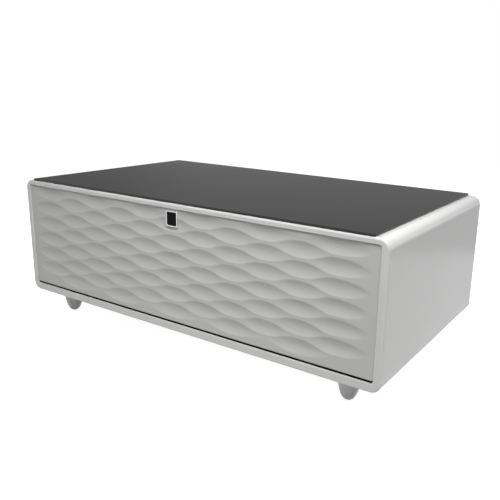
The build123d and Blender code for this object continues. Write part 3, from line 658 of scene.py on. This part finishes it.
def gasket_piece():
    x, y, z = span("drawer_gasket")
    scale = (y[1] - y[0]) / gasket_depth
    outline = list(gasket_outline)
    outline += [(gasket_width - inset, depth) for inset, depth in reversed(gasket_outline)]
    loops = []
    for inset, depth in outline:
        left, right = grown(x, -inset)
        low, top = grown(z, -inset)
        loops.append(at_y([(left, low), (right, low), (right, top), (left, top)], y[0] + scale * depth))
    piece("magnet_gasket", loft(loops, ring=True), gasket_grey, ["drawer_gasket"], 40, False, body="drawer")


def inner_panel_piece():
    x, y, z = span("drawer_inner_panel")
    gasket_x, gasket_y, gasket_z = span("drawer_gasket")
    flange_back = gasket_y[0]
    plug_x = grown(gasket_x, -plug_inset)
    plug_z = grown(gasket_z, -plug_inset)
    recess_x = grown(plug_x, -recess_border)
    recess_z = grown(plug_z, -recess_border)

    def plug(inset, at):
        return at_y(rounded(plug_x, plug_z, plug_radius, 10, inset), at)

    loops = plate(at_y, x, z, flange_radius, 10, y[0], flange_back, flange_round, 3)
    loops += [plug(-outset, flange_back + rise) for rise, outset in quarter(plug_foot, 3)]
    loops += [plug(plug_draft + inset, y[1] - drop) for inset, drop in quarter(plug_round, 4)]
    loops += [at_y(rounded(recess_x, recess_z, recess_radius, 10, inset), y[1] - depth)
              for inset, depth in recess_outline]
    piece("inner_panel", loft(loops), liner_white, ["drawer_inner_panel"], body="drawer")


rib_width = 3.0
rib_length = 3.5
rib_radius = 0.7
rib_gap = 0.3
rib_sink = 0.5


def tub_piece():
    lip = 4.0
    lip_height = 5.0
    lip_bevel = 0.5
    lip_round = 1.5
    wall = 3.0
    radius = 24.0
    base_round = 7.0
    floor_round = 1.4
    x, y, z = span("food_tub")
    inside = lip + wall
    floor = z[0] + wall
    under_lip = z[1] - lip_height

    def loop(inset, height):
        return at_z(rounded(x, y, radius, 10, inset), height)

    loops = [loop(lip + inset, z[0] + rise) for rise, inset in quarter(base_round, 5)]
    loops += [loop(lip, under_lip), loop(lip_bevel, under_lip), loop(0, under_lip + lip_bevel)]
    loops += [loop(inset, z[1] - drop) for inset, drop in quarter(lip_round, 4)]
    loops += [loop(inside - outset, z[1] - drop) for drop, outset in quarter(lip_round, 3)]
    loops += [loop(inside + inset, floor + rise) for inset, rise in quarter(floor_round, 3)]
    skins = [loft(loops)]
    for divider in ("tub_divider_left", "tub_divider_right"):
        plate_x = span(divider)[0]
        for low in (plate_x[0] - rib_gap - rib_width, plate_x[1] + rib_gap):
            for start in (y[0] + inside - rib_sink, y[1] - inside + rib_sink - rib_length):
                corners = rounded((low, low + rib_width), (start, start + rib_length), rib_radius, 3)
                skins.append(loft([at_z(corners, floor - rib_sink), at_z(corners, under_lip)]))
    piece("drawer_tub", joined(skins), liner_white, ["food_tub"], body="drawer")


gasket_piece()
inner_panel_piece()
tub_piece()


# Pipes of the cooling circuit

line_radius = 3.0
suction_radius = 4.0
line_bend = 14.0
line_drop = 26.0
coil_bend = 12.0
coil_passes = 5
wire_count = 13
wire_end = 18.0
wire_radius = 0.9
wire_outline = ((0.6 * wire_radius, 0), (wire_radius, 0.4))
bend_steps = 8
pipe_sides = 16
drier_outline = ((3.3, 0), (4.5, 1), (4.5, 7), (5.2, 8.5), (7.6, 10.8), (8.7, 12.6), (9, 15))

wires_x, wires_y, wires_z = span("condenser_wires")
coil_x = grown(wires_x, wire_end - wire_radius)
coil_z = grown(wires_z, -wire_end / 2)
coil_y = sum(wires_y) / 2
drier_x, _, drier_z = span("filter_drier")
drier_height = sum(drier_z) / 2
base_x, base_y, _ = span("compressor_base")
suction_y = sum(base_y) - coil_y


def bent(points, radius):
    """A line of straight runs with a round bend at each corner."""
    spots = [Vector(points[0])]
    for before, corner, after in zip(points, points[1:], points[2:]):
        corner = Vector(corner)
        back = (Vector(before) - corner).normalized()
        ahead = (Vector(after) - corner).normalized()
        half = back.angle(ahead) / 2
        reach = radius / tan(half)
        middle = corner + (back + ahead).normalized() * radius / sin(half)
        start = corner + back * reach - middle
        end = corner + ahead * reach - middle
        for n in range(bend_steps + 1):
            spots.append(middle + radius * start.slerp(end, n / bend_steps).normalized())
    spots.append(Vector(points[-1]))
    return spots


def pipe(name, points, radius, bend, material, replaces):
    """A round pipe with its ends closed, whose rings turn with it and don't twist."""
    spots = bent(points, bend)
    turns = [2 * pi * k / pipe_sides for k in range(pipe_sides)]
    out = (spots[1] - spots[0]).normalized().orthogonal().normalized()
    loops = []
    for n, spot in enumerate(spots):
        before = spots[max(n - 1, 0)]
        after = spots[min(n + 1, len(spots) - 1)]
        ahead = (after - before).normalized()
        out = (out - ahead * out.dot(ahead)).normalized()
        over = ahead.cross(out)
        loops.append([tuple(spot + radius * (cos(turn) * out + sin(turn) * over)) for turn in turns])
    piece(name, loft(loops), material, replaces, 40, False)


def winding(ends, y, heights):
    """A line that runs to and fro between two ends, once at each height."""
    points = []
    for n, height in enumerate(heights):
        start, end = ends if n % 2 == 0 else ends[::-1]
        points += [(start, y, height), (end, y, height)]
    return points


def condenser_pieces():
    points = winding(coil_x[::-1], coil_y, even(coil_z[::-1], coil_passes))
    riser = coil_x[0] - line_drop
    points[-1] = (riser, coil_y, coil_z[0])
    points += [(riser, coil_y, drier_height), (drier_x[0], coil_y, drier_height)]
    pipe("condenser_tube", points, line_radius, coil_bend, coil_black, ["condenser_coil"])

    skins = [lathe(mirrored(wire_outline, *wires_z), "Z", (x, y, 0), 8)
             for x in even(grown(wires_x, -wire_radius), wire_count) for y in grown(wires_y, -wire_radius)]
    piece("coil_wires", joined(skins), coil_black, ["condenser_wires"], 50, False)

    skin = lathe(mirrored(drier_outline, *drier_x), "X", (0, coil_y, drier_height), 40)
    piece("drier_can", skin, copper, ["filter_drier"], 45)


def line_pieces():
    """The lines between the pot, the coil, the drier and the wall of the cold compartment."""
    discharge_x, _, discharge_z = span("discharge_line")
    thin_x, thin_y, thin_z = span("capillary_line")
    port = discharge_x[1]
    riser = port - line_drop
    hot = discharge_z[0] + line_radius
    cold = span("suction_line")[2][0] + suction_radius
    wall = thin_y[0]
    entry = thin_z[1] - line_radius
    top = coil_z[1]
    points = [(port, coil_y, hot), (riser, coil_y, hot), (riser, coil_y, top), (coil_x[1], coil_y, top)]
    pipe("hot_gas_line", points, line_radius, line_bend, copper, ["discharge_line"])
    points = [(riser, wall, entry), (riser, suction_y, entry), (riser, suction_y, cold),
              (port, suction_y, cold)]
    pipe("return_line", points, suction_radius, line_bend - suction_radius, copper, ["suction_line"])

    # The solid's pipe is a hexagon there, and its flat side stands at the low end of its span
    left = thin_x[0] + line_radius * cos(pi / 6)
    down = drier_x[1] + line_drop
    points = [(drier_x[1], coil_y, drier_height), (down, coil_y, drier_height), (down, coil_y, entry),
              (left, coil_y, entry), (left, wall, entry)]
    pipe("thin_line", points, line_radius, line_bend, copper, ["capillary_line"])


condenser_pieces()
line_pieces()


# Evaporator

channel_radius = 3.5
channel_margin = 30.0
channel_passes = 4


def evaporator_pieces():
    thickness = 2.0
    radius = 8.0
    bevel = 0.5
    x, y, z = span("evaporator")
    front = y[1] - thickness
    skin = loft(plate(at_y, x, z, radius, 6, y[1], front, bevel))
    piece("evaporator_plate", skin, aluminium, ["evaporator"])
    heights = even(grown(z, -channel_margin), channel_passes)
    bend = (heights[1] - heights[0]) / 2 - channel_radius
    points = winding(grown(x, -channel_margin), front, heights)
    pipe("evaporator_channel", points, channel_radius, bend, aluminium, ())


evaporator_pieces()


# Compressor and its mounting

pot_radius = 62.0
pot_base_outline = ((12, 0), (40, 0), (48, 4), (56, 10), (60.5, 17), (pot_radius, 24))
pot_seam_outline = ((0, -3), (1.6, -2.2), (1.6, 1.8), (-0.6, 2.6), (-1.6, 5))
seam_drop = 4.0
lid_radius = pot_radius - 1.6
lid_height = 46.0
lid_fullness = 0.75
lid_rings = 13
lid_flat = 4.0
seat_thickness = 3.0
seat_margin = 12.0
seat_radius = 12.0
seat_bevel = 0.4
port_reach = 12.0
port_overlap = 10.0
port_flare = 3.2
port_outline = ((-0.5, 0), (0, 0.5), (0, 9), (2.2, 12.5), (port_flare, 15))
suction_port = (6.0, 100.0)
discharge_port = (5.0, 66.0)
cover_half_width = 22.0
cover_half_height = 24.0
cover_start = 50.0
cover_reach = 18.0
cover_radius = 5.0
cover_round = 2.0
cover_recess_outline = ((6.0, 2.0, 0.0), (6.6, 1.6, 0.8))
grommet_radius = 9.0
grommet_outline = ((7.6, 0), (8.7, 0.4), (9.0, 1.4), (9.0, 4.6), (8.4, 5.8), (6.8, 7.0), (6.8, 8.6),
                   (8.4, 9.8), (9.0, 11.0), (9.0, 14.6), (8.6, 15.6), (7.6, 16.0))
bolt_outline = ((7.6, 0), (7.6, 0.8), (5.9, 0.81, True), (5.9, 3.5, True), (5.3, 4.0), (1.0, 4.0))

pot_x = sum(base_x) / 2
pot_y = sum(base_y) / 2
pot_low, pot_top = span("compressor")[2]
seat_top = pot_low + seat_thickness
pot_middle = (seat_top + pot_top) / 2


def pot_piece():
    seam = pot_middle - seam_drop
    profile = [(radius, pot_low + rise) for radius, rise in pot_base_outline]
    profile += [(pot_radius + out, seam + rise) for out, rise in pot_seam_outline]
    for n in range(lid_rings):
        turn = pi / 2 * n / lid_rings
        radius = lid_radius * cos(turn) ** lid_fullness
        profile.append((radius, pot_top - lid_height * (1 - sin(turn))))
    profile.append((lid_flat, pot_top))
    seat_x = grown(base_x, -seat_margin)
    seat_y = grown(base_y, -seat_margin)
    skins = [lathe(profile, "Z", (pot_x, pot_y, 0), 64),
             loft(plate(at_z, seat_x, seat_y, seat_radius, 6, pot_low, seat_top, seat_bevel))]
    piece("compressor_pot", joined(skins), pot_black, ["compressor"], 35, False)


def port_piece():
    """The stubs that the suction and discharge lines push into."""
    end = pot_x - pot_radius - port_reach
    ports = []
    for (radius, rise), y in ((suction_port, suction_y), (discharge_port, coil_y)):
        profile = [(radius + out, end + along) for out, along in port_outline]
        profile.append((radius + port_flare, pot_x - pot_radius + port_overlap))
        ports.append(lathe(profile, "X", (0, y, seat_top + rise), 32))
    piece("compressor_ports", joined(ports), copper, angle=40)


def terminal_cover_piece():
    y = about(pot_y, cover_half_width)
    z = about(pot_middle, cover_half_height)
    outer = pot_x + pot_radius + cover_reach
    loops = plate(at_x, y, z, cover_radius, 6, pot_x + cover_start, outer, cover_round, 3)
    loops += [at_x(rounded(grown(y, -border), grown(z, -border), radius, 6), outer - depth)
              for border, radius, depth in cover_recess_outline]
    piece("terminal_cover", loft(loops), black_plastic)


def mount_pieces():
    x, y, z = span("compressor_grommets")
    places = [(px, py, 0) for px in grown(x, -grommet_radius) for py in grown(y, -grommet_radius)]
    profile = [(radius, z[0] + rise) for radius, rise in grommet_outline]
    skins = [lathe(profile, "Z", place, 32) for place in places]
    piece("rubber_feet", joined(skins), rubber_black, ["compressor_grommets"], 50)
    seat = span("compressor_bolts")[2][0]
    profile = [(radius, seat + rise, *hexagon) for radius, rise, *hexagon in bolt_outline]
    skins = [lathe(profile, "Z", place, 24) for place in places]
    piece("plate_bolts", joined(skins), steel, ["compressor_bolts"], 30)


pot_piece()
port_piece()
terminal_cover_piece()
mount_pieces()


# Fan

duct_radius = 57.0
duct_wall = 2.4
duct_flare = 0.8
duct_flare_depth = 1.5
frame_corner_cut = 4.0
frame_flange = 3.5
frame_segments = 96
post_radius = 4.8
post_inset = 7.5
post_overlap = 0.3
strut_outline = ((0.0, -2.0), (0.8, -2.5))
strut_overlap = (2.0, 1.0)
motor_length = 5.0
hub_radius = 21.0
motor_outline = ((2.5, 0.0), (hub_radius - 0.6, 0.0), (hub_radius, 0.6))
hub_length = 18.0
hub_face_outline = ((6.0, 0.3), (hub_radius - 6.0, 0.0))
hub_round = (6.0, 3.5)
hub_end_outline = ((hub_radius, 0.4), (hub_radius - 0.4, 0.0), (2.0, 0.0))
shaft_radius = 2.0
blade_count = 5

fan_x, fan_y, fan_z = span("fan_frame")
fan_centre = (0, sum(fan_y) / 2, sum(fan_z) / 2)


def fan_point(at, reach, turn):
    """A place round the fan's axis."""
    return at, fan_centre[1] + reach * cos(turn), fan_centre[2] + reach * sin(turn)


def fan_ring(at, radius=None):
    """A circle round the fan's axis, or the square outline of its frame with the corners cut."""
    half = (fan_y[1] - fan_y[0]) / 2
    corner = half * sqrt(2) - frame_corner_cut
    loop = []
    for n in range(frame_segments):
        turn = 2 * pi * n / frame_segments
        side = max(abs(cos(turn)), abs(sin(turn)))
        loop.append(fan_point(at, radius or min(half / side, corner), turn))
    return loop


def housing_piece():
    front, back = fan_x
    motor = back - motor_length
    wall = duct_radius + duct_wall
    flare = duct_radius + duct_flare
    half = [(0.0,), (frame_flange,), (frame_flange, wall)]
    inner = [(duct_flare_depth, duct_radius), (0.0, flare)]
    loops = [fan_ring(front + depth, *radius) for depth, *radius in half]
    loops += [fan_ring(back - depth, *radius) for depth, *radius in half[::-1] + inner[::-1]]
    loops += [fan_ring(front + depth, *radius) for depth, *radius in inner]
    skins = [loft(loops, ring=True)]
    section = [(motor + depth, across) for depth, across in strut_outline]
    section += [(back - depth, across) for depth, across in reversed(strut_outline)]
    section += [(at, -across) for at, across in reversed(section)]
    post_x = grown(fan_x, post_overlap - frame_flange)
    post_reach = ((fan_y[1] - fan_y[0]) / 2 - post_inset) * sqrt(2)
    for n in range(4):
        turn = pi / 4 + pi / 2 * n
        post = fan_point(0, post_reach, turn)
        skins.append(lathe([(post_radius, along) for along in post_x], "X", post, 20))
        loops = []
        for reach in (hub_radius - strut_overlap[0], duct_radius + strut_overlap[1]):
            _, y, z = fan_point(0, reach, turn)
            loops.append([(at, y - across * sin(turn), z + across * cos(turn)) for at, across in section])
        skins.append(loft(loops))
    skins.append(lathe(mirrored(motor_outline, motor, back), "X", fan_centre, 48, ring=True))
    piece("fan_housing", joined(skins), black_plastic, ["fan_frame"], 35, False)


def blade(start, middle):
    """One blade: sections from its root to its tip, each a thin curved strip round the axis."""
    half_length = 12.0
    root_share = 0.25
    depth_share = 0.94
    half_thickness = 0.85
    edge = 0.05
    bow = 1.0
    sweep = 0.12
    stations = 8
    points = 9
    reaches = (hub_radius - 1.5, duct_radius - 1.9)
    pitches = (38.0, 28.0)
    loops = []
    for share in even((0, 1), stations):
        reach = reaches[0] + share * (reaches[1] - reaches[0])
        pitch = radians(pitches[0] + share * (pitches[1] - pitches[0]))
        half = half_length * (1 - root_share * (1 - share) ** 2)
        loop = []
        for side in (1, -1):
            for across in even((-side, side), points):
                thick = half_thickness * sqrt(max(0.0, 1 - across ** 8)) + edge
                camber = bow * (0.5 - across ** 2)
                at = middle + across * half * sin(pitch) * depth_share + camber + side * thick
                turn = start + across * half * cos(pitch) / reach + sweep * share ** 2
                loop.append(fan_point(at, reach, turn))
        loops.append(loop)
    return loft(loops)


def wheel_piece():
    low, high = span("fan_rotor")[0]
    wide, deep = hub_round
    profile = [(radius, low + rise) for radius, rise in hub_face_outline]
    profile += [(hub_radius - wide * drop, low + deep * inset) for inset, drop in quarter(1.0, 4)]
    profile += [(radius, low + hub_length - drop) for radius, drop in hub_end_outline]
    profile.append((shaft_radius, high))
    skins = [lathe(profile, "X", fan_centre, 48)]
    skins += [blade(2 * pi * n / blade_count, low + hub_length / 2) for n in range(blade_count)]
    piece("fan_wheel", joined(skins), black_plastic, ["fan_rotor"], 50, False, body="condenser_fan")


housing_piece()
wheel_piece()


# Control board and power supply

board_thickness = 1.6
board_radius = 3.0
board_bevel = 0.3
board_screw_inset = 8.0
transformer_shares = (0.10, 0.12, 0.24, 0.34, 0.28)
large_relay_shares = (0.40, 0.14, 0.16, 0.24, 0.20)
small_relay_shares = (0.62, 0.16, 0.13, 0.20, 0.15)
capacitor_shares = (0.80, 0.18, 0.12, 0.20, 0.15)
connector_shares = (0.14, 0.58, 0.30, 0.08, 0.12)
chip_shares = (0.52, 0.52, 0.12, 0.12, 0.03)
heat_sink_shares = (0.74, 0.62, 0.16, 0.22, 0.10)
core_leg = 11.0
core_bar = 13.0
coil_inset = 3.0
capacitor_base_outline = ((0, 0), (0, 2.0), (0.8, 3.0), (0, 4.0))
capacitor_top_outline = ((0, 0.8), (0.8, 0), (2.0, 0), (2.4, 0.4))
connector_wall = 1.0
connector_floor = 2.0
connector_radius = 0.8
pin_half = 0.6
connector_pins = 8
chip_legs = 6
chip_leg_half = 0.4
chip_leg_height = 0.8
chip_inset = 2.0
fin_thickness = 1.6
fin_count = 7
fin_base = 2.5

board_x, board_y, board_z = span("control_board")
board_face = board_y[0] + board_thickness


def on_board(shares):
    """Block of a part, from the shares of its left, low, length and height, and how far it stands out."""
    left, low, long, high, stand = shares
    length = board_x[1] - board_x[0]
    width = board_z[1] - board_z[0]
    return ((board_x[0] + left * length, board_x[0] + (left + long) * length),
            (board_face, board_face + stand * width),
            (board_z[0] + low * width, board_z[0] + (low + high) * width))


def middles(a, count):
    """Middles of even parts between a low and a high value."""
    return [a[0] + (a[1] - a[0]) * (n + 0.5) / count for n in range(count)]


def board_piece():
    loops = plate(at_y, board_x, board_z, board_radius, 5, board_y[0], board_face, board_bevel)
    piece("board_plate", loft(loops), board_green, ["control_board"], 30)
    corners = [(x, board_face, z) for x in grown(board_x, -board_screw_inset)
               for z in grown(board_z, -board_screw_inset)]
    screws("board_screws", "cabinet", corners, "Y", 1, radius=3.0, height=2.0)


def transformer_pieces():
    x, y, z = on_board(transformer_shares)
    core = [slab(x, y, grown(z, -core_leg), 0.5), slab(grown(x, -core_bar), y, z, 0.5)]
    piece("transformer_core", joined(core), pot_black)
    wound = slab(grown(x, -coil_inset), (y[0], y[1] - coil_inset), grown(z, -coil_inset), 3.0)
    piece("transformer_coil", wound, tape_yellow)


def relay_piece():
    relays = [slab(*on_board(large_relay_shares), 1.0), slab(*on_board(small_relay_shares), 0.8)]
    piece("board_relays", joined(relays), relay_blue)


def capacitor_piece():
    x, y, z = on_board(capacitor_shares)
    radius = (x[1] - x[0]) / 2
    profile = [(radius - inset, y[0] + rise) for inset, rise in capacitor_base_outline]
    profile += [(radius - inset, y[1] - drop) for inset, drop in capacitor_top_outline]
    profile.append((1.0, y[1] - 0.4))
    skin = lathe(profile, "Y", (sum(x) / 2, 0, sum(z) / 2), 36)
    piece("board_capacitor", skin, black_plastic, angle=40)


def connector_and_chip_pieces():
    """The connector's shell and the chip, with the pins of both in one piece."""
    x, y, z = on_board(connector_shares)
    inner = rounded(grown(x, -connector_wall), grown(z, -connector_wall), connector_radius / 2, 3)
    outer = rounded(x, z, connector_radius, 3)
    shell = [at_y(outer, y[0]), at_y(outer, y[1]), at_y(inner, y[1]), at_y(inner, y[0] + connector_floor)]
    piece("board_connector", loft(shell), liner_white)
    middle = sum(z) / 2
    pins = [slab(about(at, pin_half), (y[0], y[1] - connector_floor), about(middle, pin_half), 0.15)
            for at in middles(x, connector_pins)]
    x, y, z = on_board(chip_shares)
    piece("board_chip", slab(grown(x, -chip_inset), y, z, 0.3), black_plastic)
    pins += [slab(x, (y[0], y[0] + chip_leg_height), about(up, chip_leg_half), 0.1)
             for up in middles(z, chip_legs)]
    piece("board_pins", joined(pins), steel)


def heat_sink_piece():
    x, y, z = on_board(heat_sink_shares)
    fins = [slab(x, (y[0], y[0] + fin_base), z, 0.4)]
    starts = even((x[0], x[1] - fin_thickness), fin_count)
    fins += [slab((start, start + fin_thickness), y, z, 0.3) for start in starts]
    piece("board_heat_sink", joined(fins), aluminium)


board_piece()
transformer_pieces()
relay_piece()
capacitor_piece()
connector_and_chip_pieces()
heat_sink_piece()


def supply_pieces():
    step = 1.0
    lid_top = 10.0
    lid_front = 4.0
    lid_back = 14.0
    ribs = 8
    rib_end = 30.0
    rib_side = 8.0
    rib_half = 1.5
    rib_rise = 1.0
    screw_drop = 12.0
    screw_front = 14.0
    screw_back = 24.0
    x, y, z = span("power_supply")
    skins = [slab(grown(x, -step), y, (z[0], z[1] - step), 0.8),
             slab(x, (y[0] + lid_front, y[1] - lid_back), (z[0] + lid_top, z[1]), 1.0)]
    skins += [slab(grown(x, -rib_side), (y[1] - rib_rise, y[1]), about(up, rib_half), 0.4)
              for up in even(grown(z, -rib_end), ribs)]
    piece("supply_case", joined(skins), steel, ["power_supply"])
    for side, end, way in (("left", x[0], -1), ("right", x[1], 1)):
        places = [(end, at, z[1] - screw_drop) for at in (y[0] + screw_front, y[1] - screw_back)]
        screws(f"supply_screws_{side}", "cabinet", places, "X", way, radius=3.0, height=1.6)


supply_pieces()


# CAD nodes that stay

sides = ("left", "right")
kept = (
    (tape_black, 0.2, "glass_tape"),
    (board_green, 0.1, "touch_board", "light_bar_leds"),
    (liner_white, 0.8, "inner_liner"),
    (liner_white, 1.0, "temperature_sensor"),
    (foam, 0.5, "insulation"),
    (lamp_clear, 0.5, "interior_lamp"),
    (divider_clear, 0.4, *[f"tub_divider_{side}" for side in sides]),
    (panel_grey, 0.3, "back_panel"),
    (steel, 0.3, "foot_plates", "compressor_base"),
    (steel, 0.2, "machine_partition", "condenser_posts", "board_standoffs"),
    (steel, 0.2, *[f"side_bracket_{side}" for side in sides]),
    (steel, 0.15, *[f"runner_{member}_{side}" for member in ("outer", "middle", "inner") for side in sides]),
)
weld_distance = 0.002
edge_angle = 30.0


def soften(name, material, width):
    """A CAD node that stays: a better material, and narrow rounds on its edges."""
    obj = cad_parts[name]
    obj.data.materials.clear()
    obj.data.materials.append(material)
    weld = obj.modifiers.new("weld", "WELD")
    weld.merge_threshold = weld_distance * MM
    rounds = obj.modifiers.new("rounds", "BEVEL")
    rounds.width = width * MM
    rounds.segments = 2
    rounds.limit_method = "ANGLE"
    rounds.angle_limit = radians(edge_angle)
    rounds.use_clamp_overlap = True
    flat = obj.modifiers.new("flat_faces", "WEIGHTED_NORMAL")
    flat.keep_sharp = False


for material, width, *names in kept:
    for name in names:
        soften(name, material, width)


# Floor, world and lights

floor_reach = 30.0
floor_seen_colour = (0.8, 0.8, 0.8, 1)
floor_seen_glow = 0.89
floor_given_colour = (0.40, 0.41, 0.40, 1)
floor_mirrored_fade = (2.15, 2.5, 1.0, 0.72)
sky_given = 0.15
sky_seen = 1.0
sky_fade_up = (0.02, 0.13, 1.0, 0.25)
sky_fade_across = (-0.80, -0.62, 0.68, 1.0)


def mix(tree, share, first, second):
    return node(tree, "MixShader", {0: share, 1: first, 2: second}).outputs["Shader"]


def by_ray(tree, given, shown, seen):
    """What lights the object, what metal and glass show, and what the camera sees."""
    path = node(tree, "LightPath").outputs
    either = node(tree, "Math", {0: path["Is Glossy Ray"], 1: path["Is Transmission Ray"]},
                  operation="MAXIMUM")
    return mix(tree, path["Is Camera Ray"], mix(tree, either.outputs["Value"], given, shown), seen)


def fade(tree, value, steps):
    """A soft step, from where it starts and ends and its strength before and after."""
    inputs = dict(zip(("From Min", "From Max", "To Min", "To Max"), steps))
    inputs["Value"] = value
    return node(tree, "MapRange", inputs, interpolation_type="SMOOTHSTEP").outputs["Result"]


def parts_of(tree, space):
    """X, Y and Z of the place in object space, or of the direction in the world."""
    place = node(tree, "TexCoord").outputs[space]
    return node(tree, "SeparateXYZ", {"Vector": place}).outputs


def stage_floor():
    """White sheet: a pale shadow where the camera looks, and a darker room beyond it in reflections."""
    mesh = bpy.data.meshes.new("floor")
    reach = floor_reach
    mesh.from_pydata([(-reach, -reach, 0), (reach, -reach, 0), (reach, reach, 0), (-reach, reach, 0)],
                     [], [(0, 1, 2, 3)])
    floor = bpy.data.objects.new("floor", mesh)
    scene.collection.objects.link(floor)
    made = bpy.data.materials.new("floor_white")
    made.use_nodes = True
    tree = made.node_tree
    tree.nodes.clear()
    given = node(tree, "BsdfDiffuse", {"Color": floor_given_colour})
    parts = parts_of(tree, "Object")
    across = node(tree, "Math", {0: parts["X"], 1: parts["Y"]}, operation="ADD").outputs["Value"]
    shown = node(tree, "Emission", {"Strength": fade(tree, across, floor_mirrored_fade)})
    lit = node(tree, "BsdfDiffuse", {"Color": floor_seen_colour})
    glow = node(tree, "Emission", {"Strength": floor_seen_glow})
    seen = node(tree, "AddShader", {0: lit.outputs["BSDF"], 1: glow.outputs["Emission"]})
    result = by_ray(tree, given.outputs["BSDF"], shown.outputs["Emission"], seen.outputs["Shader"])
    node(tree, "OutputMaterial", {"Surface": result})
    mesh.materials.append(made)


def set_world():
    """White behind the object, dimmer high up and at the left in mirrors, and a soft fill of light."""
    world = bpy.data.worlds.new("studio")
    scene.world = world
    world.use_nodes = True
    tree = world.node_tree
    tree.nodes.clear()
    parts = parts_of(tree, "Generated")
    up = fade(tree, parts["Z"], sky_fade_up)
    across = fade(tree, parts["X"], sky_fade_across)
    dim = node(tree, "Math", {0: up, 1: across}, operation="MULTIPLY").outputs["Value"]
    skies = [node(tree, "Background", {"Color": (1, 1, 1, 1), "Strength": strength})
             for strength in (sky_given, dim, sky_seen)]
    result = by_ray(tree, *[sky.outputs["Background"] for sky in skies])
    node(tree, "OutputWorld", {"Surface": result})


def area_light(name, place, target, size, power, spread=180.0):
    data = bpy.data.lights.new(name, "AREA")
    data.shape = "RECTANGLE"
    data.size, data.size_y = size
    data.energy = power
    data.spread = radians(spread)
    light = bpy.data.objects.new(name, data)
    scene.collection.objects.link(light)
    light.location = place
    aim = Vector(target) - Vector(place)
    light.rotation_mode = "QUATERNION"
    light.rotation_quaternion = aim.to_track_quat("-Z", "Y")
    return light


stage_floor()
set_world()
area_light("key_light", (1.0, -1.25, 2.6), (0.05, -0.35, 0.27), size=(1.2, 1.2), power=19.5, spread=85.0)
area_light("top_light", (0.5, 0.4, 2.6), (0.2, 0.0, 0.3), size=(1.6, 1.2), power=36)
back_light = area_light("back_light", (-2.0, 1.7, 1.6), (-0.3, 0.1, 0.25), size=(1.5, 1.5), power=26)
back_light.visible_glossy = False
scene.view_settings.view_transform = "Standard"
